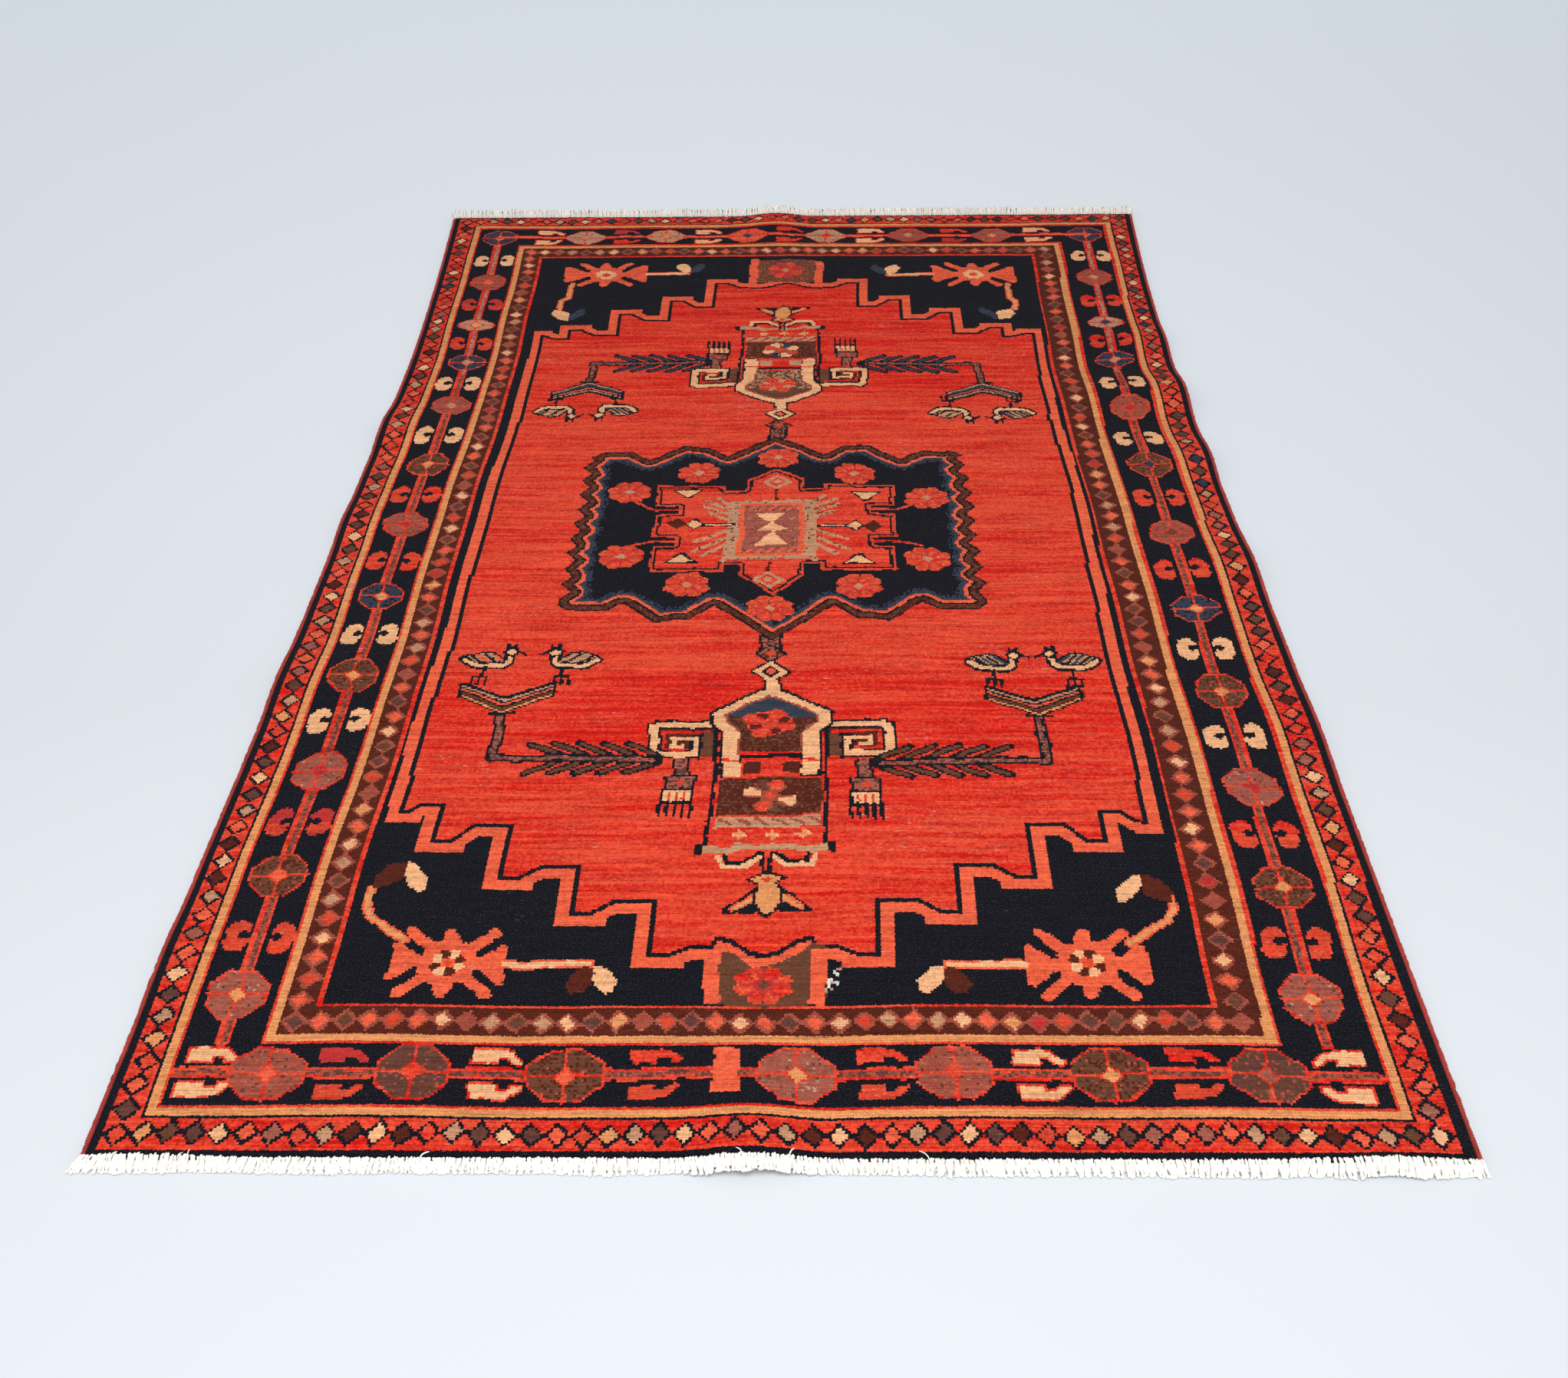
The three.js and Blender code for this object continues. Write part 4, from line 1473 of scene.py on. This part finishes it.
# The map without overlaps: start and size of the pile's part and of the back's part, and the first
# slot of the rim's faces, how many are in a row, the way from row to row, and the size of a slot.
PILE_START = (0.003, 0.003)
PILE_PART = (0.607, 0.994)
BACK_START = (0.620, 0.003)
BACK_PART = (0.370, 0.606)
RIM_START = 0.630
RIM_SLOTS = 100
RIM_ROW = 0.040
RIM_SLOT = (0.0032, 0.03)


def code_faces(mesh, flat, column, row):
    """Codes the knots of each cell on its faces and lays out the maps that read them."""
    count = len(mesh.polygons)
    starts = np.empty(count, int)
    mesh.polygons.foreach_get("loop_start", starts)
    corners = np.empty(len(mesh.loops), int)
    mesh.loops.foreach_get("vertex_index", corners)
    if len(corners) != count * 4:
        raise RuntimeError("the sheet should be made of four-sided faces")
    faces = corners.reshape(-1, 4)
    height = flat[faces, 2].mean(axis=1)
    top = height > -0.1 * FLAT_THICKNESS
    under = height < -0.9 * FLAT_THICKNESS
    rim = ~(top | under)
    cell_column = np.minimum(np.floor(column[faces].mean(axis=1)), CELLS_ACROSS - 1)
    cell_row = np.minimum(np.floor(row[faces].mean(axis=1)), CELLS_ALONG - 1)
    # Each face holds its own knots and one more all round, so that a fuzzy edge can cross it.
    knots = np.pad(draw_chart().astype(float), 1, mode="edge")
    codes = sum(knots[:, k : k + COLUMNS : CELL] * CODE_BASE**k for k in range(KEPT))
    for k in range(KEPT):
        layer = mesh.attributes.new(KNOT_ROWS[k], "FLOAT", "FACE")
        at_row = cell_row.astype(int) * CELL + k
        layer.data.foreach_set("value", codes[at_row, cell_column.astype(int)])
    u = column[faces] - cell_column[:, None]
    v = row[faces] - cell_row[:, None]
    u[rim] = 0.5
    v[rim] = 0.5
    while mesh.uv_layers:
        mesh.uv_layers.remove(mesh.uv_layers[0])
    set_map(mesh, "cell", u, v)
    set_map(mesh, "knots", column[faces] * CELL, row[faces] * CELL)
    # The pile lies at the left, the back and the rim beside it.
    across = column[faces] / CELLS_ACROSS
    along = row[faces] / CELLS_ALONG
    plain_u = PILE_START[0] + PILE_PART[0] * across
    plain_v = PILE_START[1] + PILE_PART[1] * along
    plain_u[under] = BACK_START[0] + BACK_PART[0] * across[under]
    plain_v[under] = BACK_START[1] + BACK_PART[1] * along[under]
    for k, face in enumerate(np.flatnonzero(rim)):
        slot_u = BACK_START[0] + BACK_PART[0] * (k % RIM_SLOTS) / RIM_SLOTS
        slot_v = RIM_START + RIM_ROW * (k // RIM_SLOTS)
        plain_u[face] = slot_u + RIM_SLOT[0] * np.array((0, 1, 1, 0))
        plain_v[face] = slot_v + RIM_SLOT[1] * np.array((0, 0, 1, 1))
    set_map(mesh, "OFBake", plain_u, plain_v)
    mesh.polygons.foreach_set("material_index", np.where(under, 1, 0))


def set_map(mesh, name, u, v):
    """A UV map from the corners of every face."""
    layer = mesh.uv_layers.new(name=name)
    layer.data.foreach_set("uv", np.stack([u, v], -1).astype(np.float32).ravel())


def mesh_from(name, points, faces):
    """A mesh object from points and faces, at the origin, its faces turned outwards."""
    mesh = bpy.data.meshes.new(name)
    mesh.from_pydata(points, [], faces)
    mesh.update()
    made = bpy.data.objects.new(name, mesh)
    bpy.context.scene.collection.objects.link(made)
    bpy.ops.object.select_all(action="DESELECT")
    made.select_set(True)
    bpy.context.view_layer.objects.active = made
    bpy.ops.object.mode_set(mode="EDIT")
    bpy.ops.mesh.select_all(action="SELECT")
    bpy.ops.mesh.normals_make_consistent(inside=False)
    bpy.ops.object.mode_set(mode="OBJECT")
    bpy.ops.object.shade_smooth_by_angle(angle=math.radians(60))
    return made


def tube_faces(rings, around, first=0):
    """Four-sided faces between rings of points, with points of a ring next to each other."""
    ring = np.arange(rings - 1)[:, None] * around + first
    side = np.arange(around)
    after = (side + 1) % around
    over = ring + around
    return np.stack([ring + side, ring + after, over + after, over + side], -1).reshape(-1, 4)


# Yarn: how many soft patches and fine twists there are in a metre, and the tones of the twist.
YARN_PATCHES = 30.0
YARN_TWISTS = 900.0
TWIST_TONE = (0.80, 1.15, 0.25, 0.75)


def yarn_material(name, colour, darker, ribs):
    """Spun yarn: fine twist, and soft patches of the colour made so many times darker."""
    nodes = Nodes(name)
    place = nodes.add("ShaderNodeTexCoord").outputs["Object"]
    patch = nodes.noise(place, YARN_PATCHES, 3.0, 0.6)
    fine = nodes.noise(place, YARN_TWISTS, 2.0, 0.6)
    shade = nodes.spread(patch, 0.0, 1.0, 0.30, 0.70)
    mixed = nodes.mix(shade, (*colour, 1.0), (*[part * darker for part in colour], 1.0))
    tint = nodes.add("ShaderNodeHueSaturation")
    nodes.feed(tint.inputs["Color"], mixed)
    nodes.feed(tint.inputs["Value"], nodes.spread(fine, *TWIST_TONE))
    normal = nodes.bump(fine, 0.5, ribs)
    return nodes.shade(tint.outputs["Color"], 0.9, normal, Specular_IOR_Level=0.12, Sheen_Weight=0.1)


# The yarn of the edges: length of a turn, size between the ridges and how much more on them, how
# unevenly it is wound, how far a turn leans along the edge, and how round its loop is.
WRAP = 0.0034
RINGS_PER_WRAP = 4
BINDING_AROUND = 9
WRAP_LOW = 0.72
WRAP_RIDGE = 0.28
WRAP_UNEVEN = 0.09
WRAP_LEAN = 0.0009
LOOP_START = 0.35
LOOP_ROUND = 0.8
# No yarn goes below this height, so that nothing sinks into the floor.
LOWEST_BINDING = 0.0001
LOWEST_STRAND = 0.0002


def bind_side(side, name):
    """Yarn wound over one side, one low ridge for each turn."""
    sizes = bpy.context.scene.rug_sizes
    half = sizes.pile_length / 2
    turns = int(sizes.pile_length / WRAP)
    rings = turns * RINGS_PER_WRAP + 1
    chance = np.random.default_rng(23 if side < 0 else 29)
    y = np.linspace(-half, half, rings)
    turn = np.arange(rings) / RINGS_PER_WRAP
    ridge = WRAP_LOW + WRAP_RIDGE * np.abs(np.sin(np.pi * turn))
    loose = smooth_curve(np.arange(turns + 2.0), chance.normal(1.0, WRAP_UNEVEN, turns + 2), turn)
    face = side_line(side, y)
    floor = lift(face - side * sizes.binding_width, y)
    angle = np.linspace(0, 2 * np.pi, BINDING_AROUND, endpoint=False) + LOOP_START
    # A flattened loop: level below, rounded above and outside.
    out = 0.5 + 0.5 * np.cos(angle)
    up = 0.5 + 0.5 * np.sign(np.sin(angle)) * np.abs(np.sin(angle)) ** LOOP_ROUND
    swell = (ridge * loose)[:, None]
    across = 0.5 + (out[None, :] - 0.5) * swell
    raised = 0.5 + (up[None, :] - 0.5) * swell
    x = face[:, None] - side * sizes.binding_width * (1 - across)
    y = y[:, None] + WRAP_LEAN * (raised - 0.5)
    z = np.maximum(floor[:, None] + sizes.binding_height * raised, LOWEST_BINDING)
    points = np.stack([x, y, z], -1).reshape(-1, 3)
    faces = tube_faces(rings, BINDING_AROUND).tolist()
    faces.append(list(range(BINDING_AROUND)))
    last = (rings - 1) * BINDING_AROUND
    faces.append(list(range(last, last + BINDING_AROUND)))
    return mesh_from(name, points.tolist(), faces)


STRAND_AROUND = 7
STRAND_RINGS = 11
STRAND_PITCH = 0.0028
FRAY_AROUND = 5
FRAY_RINGS = 5
NUB_RINGS = 4

# Share of the fringe length that the strands reach, and how it grows to the right at the near end.
FAR_REACH = 0.95
NEAR_REACH = 0.66
NEAR_REACH_CHANGE = 0.13

# Where a fringe lies farther over the pile: end, place across, half width and amount, in metres.
FRINGE_OVER = (
    (-1, -0.640, 0.120, 0.0045), (-1, 0.590, 0.140, 0.0030), (1, -0.300, 0.350, 0.0015),
)
# Where a fringe leans out past a corner: end, place across, half width and amount, in metres.
FRINGE_LEAN = (
    (-1, -0.700, 0.050, -0.0085), (-1, 0.700, 0.040, 0.0045), (-1, 0.250, 0.300, 0.0020),
    (1, -0.700, 0.050, -0.0080), (1, 0.700, 0.050, 0.0060),
)


# Strands, in metres unless they are shares: space kept at the corners, and how they differ.
CORNER_CLEAR = 0.002
STRANDS_PER_DRIFT = 8
DRIFT = 0.0022
LONGER = 0.07
SHIFT = 0.0004
REACH_SHARE = (0.92, 1.06)
RISE = (-0.0005, 0.0009)
ROOT = 0.0016
SWING = 0.0008
TWIST = (9, 14)
# The same for plain strands and for loose ones, which are thinner and lie over the others.
PLAIN_LEAN, LOOSE_LEAN = 0.0012, 0.0030
PLAIN_SIZE, LOOSE_SIZE = (0.92, 1.12), (0.50, 0.70)
PLAIN_REST, LOOSE_REST = 1.0, 1.7
LOOSE_RISE = 0.0016
# How far strands bow up at each end, and how high the far ones stay at their tips.
NEAR_BOW, FAR_BOW = (0.0004, 0.0018), (0.0080, 0.0125)
FAR_REST = (0.007, 0.012)
# Threads that curl back over the pile: how many at each end, where they start, how far they go.
NEAR_CURLS, FAR_CURLS = 7, 18
CURL_START = 0.003
CURL_BACK = (0.006, 0.012)
CURL_ASIDE = 0.005
CURL_RISE = 0.0040
CURL_CLEAR = 0.0004
CURL_SIZE = (0.0005, 0.0008)
# The woven strip: steps across, its share of the fringe length, and its height below and above.
STRIP_STEPS = 280
STRIP_SHARE = 0.45
STRIP_FOOT = 0.0006
STRIP_OUTER = 0.0026
STRIP_INNER = 0.0056


def along_end(table, end, x):
    """What a table of humps adds up to at one place of an end."""
    humps = [row[1:] for row in table if row[0] == end]
    return sum(amount * float(bell((x - place) / half)) for place, half, amount in humps)


class Strands:
    """Collects the points and faces of many short strands."""

    def __init__(self):
        self.points = []
        self.faces = []

    def add(self, centre, radius, twist, around=STRAND_AROUND, lumps=0.16):
        """One two-ply strand along a row of points, closed at both ends."""
        rings = len(centre)
        t = np.linspace(0, 1, rings)
        angle = np.linspace(0, 2 * np.pi, around, endpoint=False)
        along = np.gradient(centre, axis=0)
        along /= np.linalg.norm(along, axis=1)[:, None]
        side = np.cross(along, (0.0, 0.0, 1.0))
        side /= np.maximum(np.linalg.norm(side, axis=1), 1e-9)[:, None]
        up = np.cross(side, along)
        ply = 1 + lumps * np.cos(2 * angle[None, :] - twist * t[:, None])
        taper = np.interp(t, (0.0, 0.10, 0.85, 1.0), (0.60, 1.0, 1.0, 0.65))
        size = radius * ply * taper[:, None]
        body = (
            centre[:, None, :]
            + side[:, None, :] * (size * np.cos(angle))[:, :, None]
            + up[:, None, :] * (size * np.sin(angle))[:, :, None]
        ).reshape(-1, 3)
        body[:, 2] = np.maximum(body[:, 2], LOWEST_STRAND)
        first = len(self.points)
        self.points.extend(body.tolist())
        self.faces.extend(tube_faces(rings, around, first).tolist())
        self.faces.append(list(range(first, first + around)))
        last = first + (rings - 1) * around
        self.faces.append(list(range(last, last + around)))

    def fray(self, tip, end, base, chance):
        """Short thin threads that spread from the tip of a strand."""
        t = np.linspace(0, 1, FRAY_RINGS)
        for _ in range(2):
            aside = chance.normal(0, 0.0016)
            out = chance.uniform(0.0006, 0.0022)
            drop = max(tip[2] - chance.uniform(0.0004, 0.0030), base + 0.0006)
            centre = np.stack([
                tip[0] + aside * t,
                tip[1] + end * (out * t - 0.0012),
                tip[2] + (drop - tip[2]) * t**1.4,
            ], 1)
            self.add(centre, chance.uniform(0.00065, 0.0011), 0.0, FRAY_AROUND, 0.0)

    def nub(self, tip, end, chance):
        """A matted lump at the tip of a strand."""
        across = chance.normal(0, 0.0014)
        out = end * chance.uniform(-0.0006, 0.0016)
        t = np.linspace(-1, 1, NUB_RINGS)[:, None]
        centre = np.asarray(tip) + t * np.array((across, out, chance.normal(0, 0.0003)))
        self.add(centre, chance.uniform(0.0014, 0.0022), 0.0, FRAY_AROUND, 0.2)


    def strip(self, end, low, high):
        """The plain-woven strip that the strands grow from."""
        sizes = bpy.context.scene.rug_sizes
        half = sizes.pile_length / 2
        step = STRIP_STEPS + 1
        across = np.linspace(low, high, step)
        base = lift(across, end * half)
        wide = sizes.fringe_length * STRIP_SHARE
        first = len(self.points)
        for out, up in ((0.0, STRIP_FOOT), (wide, STRIP_FOOT), (wide, STRIP_OUTER), (0.0, STRIP_INNER)):
            y = np.full(step, end * (half + sizes.gap + out))
            self.points.extend(np.stack([across, y, base + up], 1).tolist())
        for side in range(4):
            a, b = first + side * step, first + ((side + 1) % 4) * step
            for k in range(STRIP_STEPS):
                self.faces.append([a + k, a + k + 1, b + k + 1, b + k])
        for end_of_strip in (first, first + STRIP_STEPS):
            self.faces.append([end_of_strip + side * step for side in range(4)])


def knot_fringe(end, name):
    """Warp ends past the pile: soft thick strands that roll over the edge down to the floor."""
    sizes = bpy.context.scene.rug_sizes
    half = sizes.pile_length / 2
    far = end > 0
    chance = np.random.default_rng(43 if far else 41)
    low = side_line(-1, end * half) + CORNER_CLEAR
    high = side_line(1, end * half) - CORNER_CLEAR
    count = int((high - low) / STRAND_PITCH)
    stations = np.linspace(0, count, count // STRANDS_PER_DRIFT + 2)
    each = np.arange(float(count))
    drift = smooth_curve(stations, chance.normal(0, DRIFT, len(stations)), each)
    longer = smooth_curve(stations, chance.normal(1, LONGER, len(stations)), each)
    made = Strands()
    t = np.linspace(0, 1, STRAND_RINGS)
    for k in range(count * 3 // 2):
        # A third of the strands are loose.
        loose = k >= count
        place = chance.uniform(0, count - 1) if loose else k
        x = low + (high - low) * (place + 0.5) / count + chance.normal(0, SHIFT)
        base = float(lift(x, end * half))
        lean = drift[int(place)] + along_end(FRINGE_LEAN, end, x)
        lean += chance.normal(0, LOOSE_LEAN if loose else PLAIN_LEAN)
        share = FAR_REACH if far else NEAR_REACH + NEAR_REACH_CHANGE * x
        reach = sizes.fringe_length * share * longer[int(place)] * chance.uniform(*REACH_SHARE)
        radius = sizes.strand / 2 * chance.uniform(*(LOOSE_SIZE if loose else PLAIN_SIZE))
        rise = sizes.thickness - EDGE_DROP + (LOOSE_RISE if loose else 0.0) + chance.uniform(*RISE)
        bow = chance.uniform(*(FAR_BOW if far else NEAR_BOW))
        # It starts on the pile's edge, bows over it, sinks and ends on the floor.
        start = -ROOT - ROOT * chance.random() - along_end(FRINGE_OVER, end, x)
        out = start + (reach - start) * t
        if far:
            rest = chance.uniform(*FAR_REST)
        else:
            rest = radius * (LOOSE_REST if loose else PLAIN_REST)
        height = rise + (rest - rise) * t**1.25 + bow * np.sin(np.pi * np.clip(t * 1.15, 0, 1))
        centre = np.stack([
            x + lean * t**1.3 + chance.normal(0, SWING) * np.sin(6 * t),
            end * (half + sizes.gap + out),
            height + base * (1 - 0.15 * t),
        ], 1)
        made.add(centre, radius, chance.uniform(*TWIST))
        if not loose:
            made.nub(centre[-1], end, chance)
            if far or k % 3 == 0:
                made.fray(centre[-1], end, base * 0.8, chance)
    for _ in range(FAR_CURLS if far else NEAR_CURLS):
        x = chance.uniform(low + 0.03, high - 0.03)
        base = float(lift(x, end * half))
        back = chance.uniform(*CURL_BACK)
        aside = chance.normal(0, CURL_ASIDE)
        centre = np.stack([
            x + aside * t**1.5,
            end * (half + CURL_START - (back + CURL_START) * t),
            base + sizes.thickness + CURL_CLEAR + CURL_RISE * np.sin(np.pi * t**0.8),
        ], 1)
        made.add(centre, chance.uniform(*CURL_SIZE), 6.0, FRAY_AROUND, 0.0)
    made.strip(end, low, high)
    return mesh_from(name, made.points, made.faces)


class RUG_OT_pile(bpy.types.Operator):
    """Makes the knotted sheet"""

    bl_idname = "rug.pile"
    bl_label = "Knotted Pile"

    def execute(self, context):
        rug = weave_sheet()
        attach(rug, "root")
        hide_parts("pile_sheet")
        return {"FINISHED"}


class RUG_OT_bindings(bpy.types.Operator):
    """Winds yarn over both sides"""

    bl_idname = "rug.bindings"
    bl_label = "Edge Bindings"

    def execute(self, context):
        yarn = yarn_material("edge_yarn", context.scene.rug_wools.binding, 0.62, 0.0006)
        for side, name, node in (
            (-1, "wound_edge_left", "edge_binding_left"),
            (1, "wound_edge_right", "edge_binding_right"),
        ):
            made = bind_side(side, name)
            made.data.materials.append(yarn)
            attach(made, "root")
            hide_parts(node)
        return {"FINISHED"}


class RUG_OT_fringes(bpy.types.Operator):
    """Makes the fringes of both ends"""

    bl_idname = "rug.fringes"
    bl_label = "Fringes"

    def execute(self, context):
        cotton = yarn_material("fringe_cotton", context.scene.rug_wools.cotton, 0.9, 0.0005)
        for end, name, node in ((-1, "strands_near", "fringe_near"), (1, "strands_far", "fringe_far")):
            made = knot_fringe(end, name)
            made.data.materials.append(cotton)
            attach(made, "root")
            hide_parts(node)
        return {"FINISHED"}


class RUG_OT_declare(bpy.types.Operator):
    """Takes no step and only finishes"""

    bl_idname = "rug.declare"
    bl_label = "Laid Cloth"

    def execute(self, context):
        return {"FINISHED"}


# The floor's brightness, which is painted light that grows farther away, between which places along it,
# and how much it varies.
FLOOR_PAINTED_LIGHT = (1.0, 1.50, -0.4, 2.8)
FLOOR_CLOUD = (0.985, 1.0)
SKY = (0.92, 0.96, 1.0, 1.0)
SKY_STRENGTH = 0.60
# Round light panels: name, place, what they face, size and power.
PANELS = (
    ("overhead_panel", (0.02, -2.0, 3.1), (0.0, -0.5, 0.0), 2.8, 102.0),
    ("side_panel", (-3.4, 0.8, 2.4), (0.0, 0.2, 0.0), 2.4, 6.0),
)


def floor_material(colour):
    """A plain floor with painted light that makes it a little brighter farther away."""
    nodes = Nodes("plain_floor")
    place = nodes.add("ShaderNodeTexCoord").outputs["Object"]
    cloud = nodes.spread(nodes.noise(place, 1.2, 2.0), *FLOOR_CLOUD)
    _, away, _ = nodes.split(place)
    tint = nodes.add("ShaderNodeHueSaturation")
    tint.inputs["Color"].default_value = (*colour, 1.0)
    # Painted light: the floor's colour made brighter farther away.
    nodes.feed(tint.inputs["Value"], nodes.sum("MULTIPLY", cloud, nodes.spread(away, *FLOOR_PAINTED_LIGHT)))
    return nodes.shade(tint.outputs["Color"], 0.7, None, Specular_IOR_Level=0.1)


class RUG_OT_stage(bpy.types.Operator):
    """Makes the floor, the light and the camera"""

    bl_idname = "rug.stage"
    bl_label = "Floor, Light and Camera"

    def execute(self, context):
        stage = context.scene.rug_stage
        bpy.ops.object.select_all(action="DESELECT")
        bpy.ops.mesh.primitive_plane_add(size=60)
        floor = fresh_object("floor")
        floor.data.materials.append(floor_material(stage.floor))
        world = bpy.data.worlds.new("studio")
        world.use_nodes = True
        background = world.node_tree.nodes["Background"]
        background.inputs["Color"].default_value = SKY
        background.inputs["Strength"].default_value = SKY_STRENGTH
        context.scene.world = world
        for name, place, aim, size, power in PANELS:
            light = bpy.data.lights.new(name, "AREA")
            light.shape = "DISK"
            light.size = size
            light.energy = power
            lamp = bpy.data.objects.new(name, light)
            context.scene.collection.objects.link(lamp)
            lamp.location = place
            toward = Vector(aim) - Vector(place)
            lamp.rotation_euler = toward.to_track_quat("-Z", "Y").to_euler()
        lens = bpy.data.cameras.new("camera")
        lens.sensor_width = 36.0
        lens.lens = stage.lens
        lens.clip_end = 100.0
        camera = bpy.data.objects.new("camera", lens)
        context.scene.collection.objects.link(camera)
        level = Matrix.Rotation(math.pi / 2, 4, "X")
        turned = (
            Matrix.Rotation(stage.swing, 4, "Z")
            @ Matrix.Rotation(-stage.dip, 4, "X")
            @ level
            @ Matrix.Rotation(stage.lean, 4, "Z")
        )
        camera.matrix_world = Matrix.Translation(stage.camera_place) @ turned
        context.scene.camera = camera
        context.scene.view_settings.view_transform = "Standard"
        return {"FINISHED"}


class RUG_PT_panel(bpy.types.Panel):
    """The steps of the rug, in order"""

    bl_idname = "RUG_PT_panel"
    bl_label = "Rug"
    bl_space_type = "VIEW_3D"
    bl_region_type = "UI"
    bl_category = "Rug"

    def draw(self, context):
        for step in STEPS:
            self.layout.operator(step.bl_idname)


STEPS = (RUG_OT_pile, RUG_OT_bindings, RUG_OT_fringes, RUG_OT_stage, RUG_OT_declare)
GROUPS = (("rug_sizes", RugSizes), ("rug_wools", RugWools), ("rug_stage", RugStage))


def register():
    for name, group in GROUPS:
        bpy.utils.register_class(group)
        setattr(bpy.types.Scene, name, bpy.props.PointerProperty(type=group))
    for step in STEPS:
        bpy.utils.register_class(step)
    bpy.utils.register_class(RUG_PT_panel)


def unregister():
    bpy.utils.unregister_class(RUG_PT_panel)
    for step in reversed(STEPS):
        bpy.utils.unregister_class(step)
    for name, group in reversed(GROUPS):
        delattr(bpy.types.Scene, name)
        bpy.utils.unregister_class(group)


def main():
    register()
    bpy.ops.rug.pile()
    bpy.ops.rug.bindings()
    bpy.ops.rug.fringes()
    bpy.ops.rug.stage()
    bpy.ops.rug.declare()


if __name__ == "__main__":
    main()
